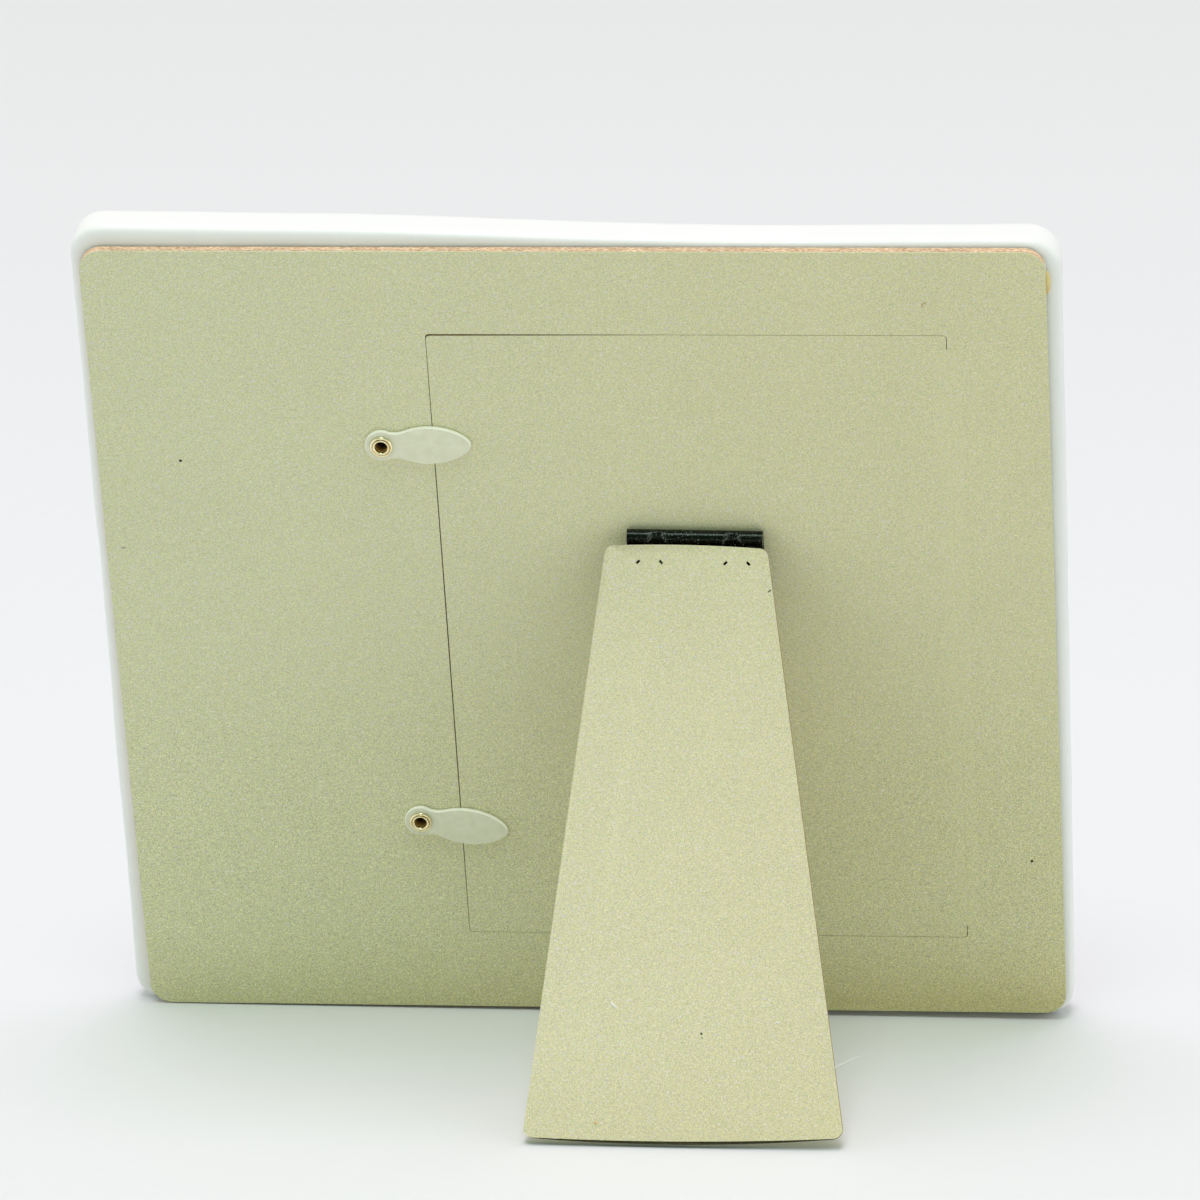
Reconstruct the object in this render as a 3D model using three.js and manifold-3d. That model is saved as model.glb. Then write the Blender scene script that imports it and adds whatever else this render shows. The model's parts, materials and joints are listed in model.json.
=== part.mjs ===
// A tabletop photo frame that leans on a swing-out strut. A white cast moulding holds glass, a print and
// a card. Its hardboard back is faced with velour paper and has a creased door, held shut by two turn tabs.
//
// The frame is drawn lying on its face and seen from behind: x to the right, y up, z out of its back.
// The moulding's back face is z = 0. Lengths are millimetres and angles degrees.
// The last lines stand the frame on its lower edge and its strut: +Z up, the picture towards -Y.
import * as THREE from "three";
import { mergeVertices } from "three/addons/utils/BufferGeometryUtils.js";
import Module from "manifold-3d";

const wasm = await Module();
wasm.setup();

// Print, and what lies in the pocket with it
const photoWidth = 101.6;
const photoHeight = 152.4;
const photoThickness = 0.3;
const glassThickness = 2;
const cardThickness = 1.5;
const pocketClearance = 0.8;

// Moulding
const windowLap = 3; // how far the front lip covers the edge of the print
const narrowSide = 34.1; // window to the right edge, seen from behind
const wideSide = 88.7; // window to the left edge
const topBar = 29.1;
const bottomBar = 28.8;
const mouldingDepth = 11;
const mouldingCorner = 6.5;
const frontRound = 4; // rounding of the outer edges
const backRound = 2.5;
const topRise = 1.4; // the cast top edge runs this much uphill to its left end
const topDip = 1.3; // and dips by this much on its way
const dipAt = 33; // right of the middle
const dipReach = 85;
const leftFlare = 1; // the left edge stands out this much further at its foot
const windowRound = 3; // rounding of the window's front edge
const windowCorner = 3;

// Back and its door
const backSideMargin = 3.2; // moulding left bare beside the back
const backTopMargin = 2.6; // moulding left bare above it
const backBottomMargin = 2.3;
const backCorner = 5;
const backTwist = 0.46; // the back is glued on a little askew
const backShift = 0.5; // and off centre
const coreThickness = 1.8;
const facingThickness = 0.3;
const doorSideLap = 5.6; // how far the door reaches past the pocket
const doorEndLap = 1.95;
const doorSlit = 0.12; // width of the cut on three sides
const doorCorner = 0.9;
const sawnCorner = 0.05; // the opening in the board is all but square
const slitGape = 0.4; // the door hangs low at its free upper corner
const gapeReach = 55; // and the slit closes over this length
const slitBow = 0.15; // the door's free edge is hollow by this much
const creaseSlit = 0.2;
const cornerCut = 3.3; // the cut turns this far into the creased side

// Glue under the back
const glueInset = 4;
const glueWidth = 6;
const glueThickness = 0.2;
const squeezeDrop = 8; // squeezed-out bead, below the top of the back
const squeezeLength = 5;
const squeezeRadius = 0.4;

// Turn tabs
const tabThickness = 1;
const tabShoulder = 0.5; // width of the rounded shoulder round the tab
const tabShoulderHeight = 0.5;
const tabHeadTurn = 60; // angle from the tab's length at which its round head ends
const tabHead = 3.75; // radius of the round end
const tabWaist = 3.1; // half width behind the head
const tabWaistAt = 3.5;
const tabBelly = 4.6; // half width of the leaf
const tabBellyAt = 10.5;
const tabReach = 20; // eyelet to tip
const tabNose = 5.2; // how far the belly runs straight towards the tip
const tabTip = 1.8; // half width that the tip's curve starts with
const upperTabInset = 11.5; // eyelet to the door's free edge
const lowerTabInset = 9.2;
const upperTabTilt = 0.6;
const lowerTabTilt = -7.9;
const upperTabRise = 51.05; // eyelet above the middle of the back
const lowerTabDrop = 48.15;

// Eyelets
const eyeletBore = 2.7;
const eyeletWall = 0.35;
const eyeletFlange = 4.9;
const eyeletFlangeHeight = 0.7;
const eyeletClinch = 4.7; // the rolled-over end inside
const eyeletClinchHeight = 0.6;
const eyeletRelief = 1.5; // depth of the pocket in the moulding for that end
const eyeletRound = 0.3;

// Strut hinge
const hingeLength = 30.2;
const hingeSkew = -0.75; // the hinge is not quite level on the door
const sheetThickness = 0.5;
const pinDiameter = 1.2;
const pinInset = 0.5; // pin end inside the tube end
const dentSpacing = 16.8;
const dentLength = 5.2;
const dentTurn = 75; // angle from the lip's side over which a dent fades out
const leafLength = 14.5; // hinge axis to the end of each leaf
const clawSpacing = 19.4; // between the two star-punched clusters of claws
const clawDrop = 8.4; // cluster centre below the hinge axis
const clawCircle = 3.6; // radius that the four claws of a cluster stand on
const clawBase = 1.5;
const clawTip = 0.5;
const clawThickness = 0.3;
const punchHole = 2.2; // half diagonal of the hole that the claws were raised from

// Strut
const strutLength = 134.5; // hinge axis to foot
const strutHead = 35.9;
const strutFoot = 71.2;
const strutCorner = 2.1;
const strutHeadBow = 0.4;
const strutHeadSlant = 0.8; // the head's left corner is cut this much higher
const strutFootBow = 0.7;
const strutOffset = -1.65; // the strut is fixed off the hinge's middle
const strutSkew = 1.15; // and turned a little on its leaf
const liningThickness = 0.25;
const liningInset = 0.8;

// Stance
const lean = 15; // of the frame, from upright
const strutOpening = 37; // between strut and back

// Clearances
const seatGap = 0.15; // between pieces that rest on each other
const bondGap = 0.1; // between a board and the paper glued to it
const glueGap = 0.3; // between the moulding and the back
const runGap = 0.05; // between pin and knuckle
const knuckleGap = 0.1; // between knuckle and tube
const slotGap = 0.12; // round a claw or a barrel
const stopGap = 1.5; // angle between the open strut's leaf and the lip that stops it
const through = 1; // how far a cutter passes a face

// Facets
const cornerSteps = 4;
const roundSteps = 5;
const topSteps = 12;
const bevelSteps = 3;
const circleSteps = 28;
const dentSteps = 8;
const curlStep = 12;

// Sizes that follow
const windowWidth = photoWidth - 2 * windowLap;
const windowHeight = photoHeight - 2 * windowLap;
const pocketWidth = photoWidth + 2 * pocketClearance;
const pocketHeight = photoHeight + 2 * pocketClearance;
const pocketDepth = glassThickness + photoThickness + cardThickness + 3 * seatGap;
const mouldingWidth = narrowSide + windowWidth + wideSide;
const mouldingHeight = bottomBar + windowHeight + topBar;
const pictureX = mouldingWidth / 2 - narrowSide - windowWidth / 2;
const pictureY = bottomBar + windowHeight / 2;

const backWidth = mouldingWidth - 2 * backSideMargin;
const backHeight = mouldingHeight - backTopMargin - backBottomMargin;
const backCentre = new THREE.Vector2(backShift, backBottomMargin + backHeight / 2);
const doorWidth = pocketWidth + 2 * doorSideLap;
const doorHeight = pocketHeight + 2 * doorEndLap;
const doorX = pictureX - backCentre.x;
const doorY = pictureY - backCentre.y;
const creaseX = doorX + doorWidth / 2;
const freeEdgeX = doorX - doorWidth / 2;
const facingBase = glueGap + coreThickness + bondGap;
const facingTop = facingBase + facingThickness;

const barrelRadius = eyeletBore / 2 + eyeletWall;
const tabBase = facingTop + seatGap;
const upperEyelet = new THREE.Vector2(freeEdgeX - upperTabInset, upperTabRise);
const lowerEyelet = new THREE.Vector2(freeEdgeX - lowerTabInset, -lowerTabDrop);

const pinRadius = pinDiameter / 2;
const knuckleBore = pinRadius + runGap;
const knuckleRadius = knuckleBore + sheetThickness;
const curlInside = knuckleRadius + knuckleGap;
const curlOutside = curlInside + sheetThickness;
const dentDepth = curlInside - pinRadius - runGap;
const neckAngle = THREE.MathUtils.radToDeg(Math.asin(sheetThickness / 2 / curlInside));
const lipAngle = strutOpening - 90 + neckAngle + stopGap;
const leafHead = curlOutside + seatGap;

const liningBase = sheetThickness / 2 + seatGap;
const strutCoreBase = liningBase + liningThickness + bondGap;
const strutFacingBase = strutCoreBase + coreThickness + bondGap;
const strutTop = strutFacingBase + facingThickness;
const lowClawTop = strutFacingBase - bondGap - seatGap; // the lower claws end inside the board
const strutHeadPeak = -curlOutside; // the head ends level with the tube's underside

// The hinge sits at the height that puts the open strut's foot on the table, like the moulding's edge.
const sinLean = Math.sin(THREE.MathUtils.degToRad(lean));
const cosLean = Math.cos(THREE.MathUtils.degToRad(lean));
const strutSlope = THREE.MathUtils.degToRad(strutOpening - lean);
const hingeZ = facingTop + seatGap + curlOutside;
const edgeHeight = backRound * (cosLean + sinLean - 1);
const footDrop = strutLength * Math.cos(strutSlope) - strutCoreBase * Math.sin(strutSlope);
const twistRise = doorX * Math.sin(THREE.MathUtils.degToRad(backTwist));
const hingeY = (edgeHeight + hingeZ * sinLean + footDrop) / cosLean - backCentre.y - twistRise;

// Colours and finishes
const finish = (color, roughness, metalness = 0) =>
  new THREE.MeshStandardMaterial({ color, roughness, metalness });
const castResin = finish(0xf4f3ef, 0.4);
const clearGlass = finish(0xdfe8e6, 0.05);
const printPaper = finish(0xd9d6cc, 0.35);
const greyCard = finish(0x9a958a, 0.9);
const yellowGlue = finish(0xd8a93c, 0.3);
const hardboard = finish(0xa8743f, 0.85);
const velourPaper = finish(0xbfc49e, 0.95);
const liningPaper = finish(0xb4b893, 0.95);
const milkyPlastic = finish(0xd9dcc8, 0.35);
const brass = finish(0xc9a24f, 0.3, 1);
const blackEnamel = finish(0x0c0c0d, 0.2);
const steelWire = finish(0x8d9093, 0.35, 1);

// Only the positions of a geometry, with shared corners welded, as one closed solid.
function solidOf(geometry) {
  const bare = new THREE.BufferGeometry();
  bare.setAttribute("position", geometry.getAttribute("position"));
  bare.setIndex(geometry.getIndex());
  const welded = mergeVertices(bare);
  const triVerts = new Uint32Array(welded.index.array);
  return new wasm.Manifold(
    new wasm.Mesh({ numProp: 3, vertProperties: welded.attributes.position.array, triVerts }),
  );
}

function geometryOf(solid) {
  const { vertProperties, triVerts } = solid.getMesh();
  const geometry = new THREE.BufferGeometry();
  geometry.setAttribute("position", new THREE.BufferAttribute(vertProperties, 3));
  geometry.setIndex(new THREE.BufferAttribute(triVerts, 1));
  geometry.computeVertexNormals();
  return geometry;
}

function join(...geometries) {
  return geometryOf(geometries.map(solidOf).reduce((whole, piece) => whole.add(piece)));
}

function cut(geometry, ...cutters) {
  const solids = cutters.map(solidOf);
  return geometryOf(solids.reduce((whole, cutter) => whole.subtract(cutter), solidOf(geometry)));
}

function roundedRectangle(width, height, radius) {
  const x = width / 2 - radius;
  const y = height / 2 - radius;
  const shape = new THREE.Shape();
  shape.absarc(x, y, radius, 0, Math.PI / 2);
  shape.absarc(-x, y, radius, Math.PI / 2, Math.PI);
  shape.absarc(-x, -y, radius, Math.PI, 1.5 * Math.PI);
  shape.absarc(x, -y, radius, 1.5 * Math.PI, 2 * Math.PI);
  return shape;
}

function plate(shape, thickness, base) {
  const geometry = new THREE.ExtrudeGeometry(shape, {
    depth: thickness,
    bevelEnabled: false,
    curveSegments: 2 * cornerSteps,
  });
  return geometry.translate(0, 0, base);
}

// A closed skin over sections of equal point counts. The outline of each goes round counter-clockwise,
// seen from the last section, and "cap" gives the two coordinates that its end is filled in.
function loft(sections, cap) {
  const count = sections[0].length;
  const positions = sections.flat().flatMap((point) => point.toArray());
  const indices = [];
  for (let ring = 0; ring + 1 < sections.length; ring += 1) {
    for (let i = 0; i < count; i += 1) {
      const next = (i + 1) % count;
      const low = ring * count;
      const high = low + count;
      indices.push(low + i, low + next, high + next, low + i, high + next, high + i);
    }
  }
  const last = (sections.length - 1) * count;
  const firstCap = THREE.ShapeUtils.triangulateShape(sections[0].map(cap), []);
  firstCap.forEach(([a, b, c]) => indices.push(a, c, b));
  const lastCap = THREE.ShapeUtils.triangulateShape(sections[sections.length - 1].map(cap), []);
  lastCap.forEach(([a, b, c]) => indices.push(last + a, last + b, last + c));
  const geometry = new THREE.BufferGeometry();
  geometry.setAttribute("position", new THREE.Float32BufferAttribute(positions, 3));
  geometry.setIndex(indices);
  return geometry;
}

const seenFromBack = (point) => new THREE.Vector2(point.x, point.y);
const seenFromSide = (point) => new THREE.Vector2(point.y, point.z);

// One section of a rounded block: its outline drawn in by "inset" at the height z.
function blockSection(width, height, corner, inset, z) {
  const outline = roundedRectangle(width - 2 * inset, height - 2 * inset, corner - inset);
  const points = outline.getPoints(cornerSteps);
  if (points[0].distanceTo(points[points.length - 1]) < runGap) points.pop();
  return points.map(({ x, y }) => new THREE.Vector3(x, y, z));
}

// A counter-clockwise outline with each side moved in by "inset".
function drawnIn(outline, inset) {
  return outline.map((point, i) => {
    const before = point.clone().sub(outline.at(i - 1)).normalize();
    const after = outline[(i + 1) % outline.length].clone().sub(point).normalize();
    const along = before.clone().add(after).normalize();
    const move = inset / along.dot(before);
    return new THREE.Vector2(point.x - along.y * move, point.y + along.x * move);
  });
}

function drill(radius, depth, centre, base) {
  const cylinder = new THREE.CylinderGeometry(radius, radius, depth, circleSteps);
  return cylinder.rotateX(Math.PI / 2).translate(centre.x, centre.y, base + depth / 2);
}

// Frame moulding: a pillow-edged block, a round-lipped window and a pocket behind it

// How far the uneven top edge lies above its right end.
function topLift(x) {
  const slope = topRise * (0.5 - x / mouldingWidth);
  const away = Math.min(Math.abs(x - dipAt) / dipReach, 1);
  return slope - topDip * Math.cos((away * Math.PI) / 2) ** 2;
}

// One section of the moulding, with points along its top edge to follow the unevenness.
function mouldingSection(inset, z) {
  const points = blockSection(mouldingWidth, mouldingHeight, mouldingCorner, inset, z);
  const half = mouldingWidth / 2 - mouldingCorner;
  const edge = [];
  for (let step = 1; step < topSteps; step += 1) {
    edge.push(new THREE.Vector3(half - (2 * half * step) / topSteps, mouldingHeight / 2 - inset, z));
  }
  const edgeStart = points.findIndex((point) => point.x < half - runGap);
  points.splice(edgeStart, 0, ...edge);
  points.filter((point) => point.y > 0).forEach((point) => {
    point.y += topLift(point.x);
  });
  const upright = mouldingHeight / 2 - mouldingCorner;
  points.filter((point) => point.x < 0 && point.y > -upright).forEach((point) => {
    point.x += leftFlare * (0.5 + point.y / (2 * upright));
  });
  return points;
}

function mouldingBlock() {
  const sections = [];
  for (let step = 0; step <= roundSteps; step += 1) {
    const angle = (step / roundSteps) * (Math.PI / 2);
    const inset = frontRound * (1 - Math.sin(angle));
    const z = -mouldingDepth + frontRound * (1 - Math.cos(angle));
    sections.push(mouldingSection(inset, z));
  }
  for (let step = 0; step <= roundSteps; step += 1) {
    const angle = (step / roundSteps) * (Math.PI / 2);
    const inset = backRound * (1 - Math.cos(angle));
    const z = -backRound * (1 - Math.sin(angle));
    sections.push(mouldingSection(inset, z));
  }
  return loft(sections, seenFromBack).translate(0, mouldingHeight / 2, 0);
}

function windowCutter() {
  const section = (inset, z) => blockSection(windowWidth, windowHeight, windowCorner, inset, z);
  const sections = [section(-windowRound, -mouldingDepth - through)];
  for (let step = 0; step <= roundSteps; step += 1) {
    const angle = (step / roundSteps) * (Math.PI / 2);
    const inset = windowRound * (Math.sin(angle) - 1);
    sections.push(section(inset, windowRound * (1 - Math.cos(angle)) - mouldingDepth));
  }
  sections.push(section(0, -pocketDepth + through));
  return loft(sections, seenFromBack).translate(pictureX, pictureY, 0);
}

// Where a point of the askew back lies on the moulding.
function onMoulding(point) {
  const turned = point.clone().rotateAround(new THREE.Vector2(), THREE.MathUtils.degToRad(backTwist));
  return turned.add(backCentre);
}

function mouldingGeometry() {
  const pocket = new THREE.BoxGeometry(pocketWidth, pocketHeight, pocketDepth + through);
  pocket.translate(pictureX, pictureY, (through - pocketDepth) / 2);
  const reliefs = [upperEyelet, lowerEyelet].map((eyelet) =>
    drill(eyeletClinch, eyeletRelief + through, onMoulding(eyelet), -eyeletRelief),
  );
  return cut(mouldingBlock(), windowCutter(), pocket, ...reliefs);
}

// Glass, print and card: sheets of the print's size, lying on the pocket's lower wall

function pocketSheet(thickness, base) {
  const sheet = new THREE.BoxGeometry(photoWidth, photoHeight, thickness);
  return sheet.translate(pictureX, pictureY - pocketClearance + seatGap, base + thickness / 2);
}

// Back: hardboard and facing share one outline with the door's opening and the two eyelet holes

function doorOpening(corner) {
  const left = freeEdgeX - doorSlit;
  const top = doorY + doorHeight / 2 + doorSlit;
  const bottom = doorY - doorHeight / 2 - doorSlit;
  const cutRight = creaseX + doorSlit / 2;
  const creaseRight = creaseX + creaseSlit / 2;
  const opening = new THREE.Path();
  opening.moveTo(left + corner, bottom);
  opening.lineTo(cutRight - corner, bottom);
  opening.quadraticCurveTo(cutRight, bottom, cutRight, bottom + corner);
  opening.lineTo(cutRight, bottom + cornerCut);
  opening.lineTo(creaseRight, bottom + cornerCut);
  opening.lineTo(creaseRight, top - cornerCut);
  opening.lineTo(cutRight, top - cornerCut);
  opening.lineTo(cutRight, top - corner);
  opening.quadraticCurveTo(cutRight, top, cutRight - corner, top);
  opening.lineTo(left + corner, top);
  opening.quadraticCurveTo(left, top, left, top - corner);
  opening.lineTo(left, bottom + corner);
  opening.quadraticCurveTo(left, bottom, left + corner, bottom);
  return opening;
}

function backLayer(thickness, base, openingCorner) {
  const outline = roundedRectangle(backWidth, backHeight, backCorner);
  outline.holes.push(doorOpening(openingCorner));
  for (const eyelet of [upperEyelet, lowerEyelet]) {
    const hole = new THREE.Path();
    hole.absarc(eyelet.x, eyelet.y, barrelRadius + slotGap, 0, 2 * Math.PI);
    outline.holes.push(hole);
  }
  return plate(outline, thickness, base);
}

function glueGeometry() {
  const bandWidth = backWidth - 2 * glueInset;
  const bandHeight = backHeight - 2 * glueInset;
  const band = roundedRectangle(bandWidth, bandHeight, backCorner - glueInset);
  const innerInset = glueInset + glueWidth;
  const inner = new THREE.Path();
  const innerX = backWidth / 2 - innerInset;
  const innerY = backHeight / 2 - innerInset;
  inner.moveTo(-innerX, -innerY).lineTo(innerX, -innerY).lineTo(innerX, innerY).lineTo(-innerX, innerY);
  inner.closePath();
  band.holes.push(inner);
  const film = plate(band, glueThickness, (glueGap - glueThickness) / 2);
  const beadX = backWidth / 2 + squeezeRadius + slotGap;
  const beadY = backHeight / 2 - squeezeDrop;
  const bead = new THREE.CapsuleGeometry(squeezeRadius, squeezeLength, cornerSteps, 2 * cornerSteps);
  bead.translate(beadX, beadY, squeezeRadius + bondGap);
  const tongueWidth = glueInset + squeezeRadius + slotGap + glueWidth / 2;
  const tongue = new THREE.BoxGeometry(tongueWidth, squeezeLength, glueThickness);
  tongue.translate(beadX - tongueWidth / 2, beadY, glueGap / 2);
  return join(film, tongue, bead);
}

// Strut hinge, drawn about its axis: x along the pin, y up, z out of the back

// A claw from z = base to z = tip, "extra" wider all round where it stands for its slot.
function claw(base, tip, extra) {
  const section = (width, z) => {
    const x = width / 2 + extra;
    const y = clawThickness / 2 + extra;
    return [
      new THREE.Vector3(x, y, z),
      new THREE.Vector3(-x, y, z),
      new THREE.Vector3(-x, -y, z),
      new THREE.Vector3(x, -y, z),
    ];
  };
  const sections = [section(clawBase, base), section(clawTip, tip)];
  return loft(base < tip ? sections : sections.reverse(), seenFromBack);
}

// The claws of both star-punched clusters. The lower two of each may be shorter.
function claws(base, tip, extra = 0, lowTip = tip) {
  const all = [];
  for (const side of [-1, 1]) {
    for (let quarter = 0; quarter < 4; quarter += 1) {
      const direction = Math.PI / 4 + (quarter * Math.PI) / 2;
      const x = (side * clawSpacing) / 2 + clawCircle * Math.cos(direction);
      const y = -clawDrop + clawCircle * Math.sin(direction);
      const end = quarter < 2 ? tip : lowTip;
      all.push(claw(base, end, extra).rotateZ(direction + Math.PI / 2).translate(x, y, 0));
    }
  }
  return all;
}

function punchHoles(middleZ) {
  return [-1, 1].map((side) => {
    const diamond = new THREE.CylinderGeometry(punchHole, punchHole, sheetThickness + 2 * through, 4);
    return diamond.rotateX(Math.PI / 2).translate((side * clawSpacing) / 2, -clawDrop, middleZ);
  });
}

// How deep the crimp is at x, from 0 to 1.
function dentAt(x) {
  const away = Math.abs(Math.abs(x) - dentSpacing / 2) / (dentLength / 2);
  return away < 1 ? Math.cos((away * Math.PI) / 2) ** 2 : 0;
}

// The door leaf's section: a flat strip that curls over the knuckles and ends at the lip.
function curlSection(x) {
  const steps = Math.ceil((180 - lipAngle) / curlStep);
  const at = (radius, degrees) => {
    const towardsLip = THREE.MathUtils.smoothstep(dentTurn - degrees, 0, dentTurn);
    const pressed = radius - dentDepth * dentAt(x) * towardsLip;
    const angle = THREE.MathUtils.degToRad(degrees);
    return new THREE.Vector3(x, pressed * Math.sin(angle), pressed * Math.cos(angle));
  };
  const leafEnd = [-curlInside, -curlOutside].map((z) => new THREE.Vector3(x, -leafLength, z));
  const outline = [...leafEnd];
  for (let step = 0; step <= steps; step += 1) {
    outline.push(at(curlOutside, 180 + ((lipAngle - 180) * step) / steps));
  }
  for (let step = steps; step >= 0; step -= 1) {
    outline.push(at(curlInside, 180 + ((lipAngle - 180) * step) / steps));
  }
  return outline;
}

function doorLeafGeometry() {
  const stations = [-hingeLength / 2, hingeLength / 2];
  for (const side of [-1, 1]) {
    for (let step = 0; step <= dentSteps; step += 1) {
      stations.push((side * dentSpacing) / 2 + (step / dentSteps - 0.5) * dentLength);
    }
  }
  stations.sort((a, b) => a - b);
  const middleZ = -curlInside - sheetThickness / 2;
  const clawTipZ = glueGap + bondGap - hingeZ;
  const leaf = cut(loft(stations.map(curlSection), seenFromSide), ...punchHoles(middleZ));
  return join(leaf, ...claws(middleZ, clawTipZ));
}

function pinGeometry() {
  const pin = new THREE.CylinderGeometry(pinRadius, pinRadius, hingeLength - 2 * pinInset, circleSteps);
  return pin.rotateZ(Math.PI / 2);
}

function knuckle(from, to) {
  const ring = new THREE.Shape();
  ring.absarc(0, 0, knuckleRadius, 0, 2 * Math.PI);
  const bore = new THREE.Path();
  bore.absarc(0, 0, knuckleBore, 0, 2 * Math.PI);
  ring.holes.push(bore);
  const length = to - from;
  const eye = new THREE.ExtrudeGeometry(ring, {
    depth: length,
    bevelEnabled: false,
    curveSegments: circleSteps,
  });
  eye.rotateY(Math.PI / 2).translate(from, 0, 0);
  const neckTop = -knuckleBore - sheetThickness / 2;
  const neckEnd = -leafHead - sheetThickness;
  const neck = new THREE.BoxGeometry(length, neckTop - neckEnd, sheetThickness);
  neck.translate((from + to) / 2, (neckTop + neckEnd) / 2, 0);
  return [eye, neck];
}

function strutLeafGeometry() {
  const plateLength = leafLength - leafHead;
  const leafPlate = new THREE.BoxGeometry(hingeLength, plateLength, sheetThickness);
  leafPlate.translate(0, -leafHead - plateLength / 2, 0);
  const dentSide = dentLength / 2 + knuckleGap;
  const inner = dentSpacing / 2 - dentSide;
  const outer = dentSpacing / 2 + dentSide;
  const knuckles = [
    ...knuckle(-hingeLength / 2, -outer),
    ...knuckle(-inner, inner),
    ...knuckle(outer, hingeLength / 2),
  ];
  return join(cut(leafPlate, ...punchHoles(0)), ...knuckles, ...claws(0, strutTop, 0, lowClawTop));
}

// Door: the piece inside the slit, with slots for the door leaf's claws

function doorOutline() {
  const right = creaseX - creaseSlit / 2;
  const top = doorY + doorHeight / 2;
  const bottom = doorY - doorHeight / 2;
  const freeTop = top - slitGape;
  const shape = new THREE.Shape();
  shape.moveTo(freeEdgeX + doorCorner, bottom);
  shape.lineTo(right - doorCorner, bottom);
  shape.quadraticCurveTo(right, bottom, right, bottom + doorCorner);
  shape.lineTo(right, top - doorCorner);
  shape.quadraticCurveTo(right, top, right - doorCorner, top);
  shape.lineTo(freeEdgeX + gapeReach, top);
  shape.lineTo(freeEdgeX + doorCorner, freeTop);
  shape.quadraticCurveTo(freeEdgeX, freeTop, freeEdgeX, freeTop - doorCorner);
  shape.quadraticCurveTo(freeEdgeX + 2 * slitBow, doorY, freeEdgeX, bottom + doorCorner);
  shape.quadraticCurveTo(freeEdgeX, bottom, freeEdgeX + doorCorner, bottom);
  return shape;
}

function doorLayer(thickness, base) {
  const layer = plate(doorOutline(), thickness, base);
  const slots = claws(-curlInside, glueGap - hingeZ - through, slotGap);
  const skew = THREE.MathUtils.degToRad(hingeSkew);
  return cut(layer, ...slots.map((slot) => slot.rotateZ(skew).translate(doorX, hingeY, hingeZ)));
}

// Strut, drawn about the hinge axis: a tapered board with bowed ends

function strutOutline(inset) {
  const slant = strutHeadSlant / 2;
  const top = strutHeadPeak - strutHeadBow - slant / 2 - inset;
  const bottom = -strutLength + strutFootBow + inset;
  const taper = (strutFoot - strutHead) / 2 / (top - bottom + 2 * inset);
  const topX = strutHead / 2 + taper * inset - inset;
  const bottomX = strutFoot / 2 - taper * inset - inset;
  const cornerX = taper * strutCorner;
  const shape = new THREE.Shape();
  shape.moveTo(-topX + strutCorner, top + slant);
  shape.quadraticCurveTo(-topX, top + slant, -topX - cornerX, top + slant - strutCorner);
  shape.lineTo(-bottomX + cornerX, bottom + strutCorner);
  shape.quadraticCurveTo(-bottomX, bottom, -bottomX + strutCorner, bottom);
  shape.quadraticCurveTo(0, bottom - 2 * strutFootBow, bottomX - strutCorner, bottom);
  shape.quadraticCurveTo(bottomX, bottom, bottomX - cornerX, bottom + strutCorner);
  shape.lineTo(topX + cornerX, top - slant - strutCorner);
  shape.quadraticCurveTo(topX, top - slant, topX - strutCorner, top - slant);
  shape.quadraticCurveTo(0, top + 2 * strutHeadBow, -topX + strutCorner, top + slant);
  return shape;
}

function strutLayer(thickness, base, inset) {
  const board = plate(strutOutline(inset), thickness, base);
  board.rotateZ(THREE.MathUtils.degToRad(strutSkew)).translate(strutOffset, 0, 0);
  return cut(board, ...claws(0, strutTop + through, slotGap, strutFacingBase - bondGap / 2));
}

// Turn tabs and eyelets, drawn about the eyelet's axis

function tabGeometry() {
  const headAngle = THREE.MathUtils.degToRad(tabHeadTurn);
  const headX = tabHead * Math.cos(headAngle);
  const headY = tabHead * Math.sin(headAngle);
  const shape = new THREE.Shape();
  shape.moveTo(tabReach, 0);
  shape.bezierCurveTo(tabReach, tabTip, tabBellyAt + tabNose, tabBelly, tabBellyAt, tabBelly);
  const middle = (tabBellyAt + tabWaistAt) / 2;
  const swellX = tabWaistAt + (tabBellyAt - tabWaistAt) / 3;
  const swellY = tabWaist + (tabBelly - tabWaist) / 3;
  shape.bezierCurveTo(middle, tabBelly, swellX, swellY, tabWaistAt, tabWaist);
  shape.lineTo(headX, headY);
  shape.absarc(0, 0, tabHead, headAngle, 2 * Math.PI - headAngle);
  shape.lineTo(tabWaistAt, -tabWaist);
  shape.bezierCurveTo(swellX, -swellY, middle, -tabBelly, tabBellyAt, -tabBelly);
  shape.bezierCurveTo(tabBellyAt + tabNose, -tabBelly, tabReach, -tabTip, tabReach, 0);
  const outline = shape.getPoints(2 * cornerSteps);
  outline.pop();
  const section = (inset, z) => drawnIn(outline, inset).map(({ x, y }) => new THREE.Vector3(x, y, z));
  const sections = [section(0, 0)];
  for (let step = 0; step <= bevelSteps; step += 1) {
    const angle = (step / bevelSteps) * (Math.PI / 2);
    const z = tabThickness - tabShoulderHeight * (1 - Math.sin(angle));
    sections.push(section(tabShoulder * (1 - Math.cos(angle)), z));
  }
  const hole = drill(barrelRadius + slotGap, tabThickness + 2 * through, new THREE.Vector2(), -through);
  return cut(loft(sections, seenFromBack), hole);
}

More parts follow.
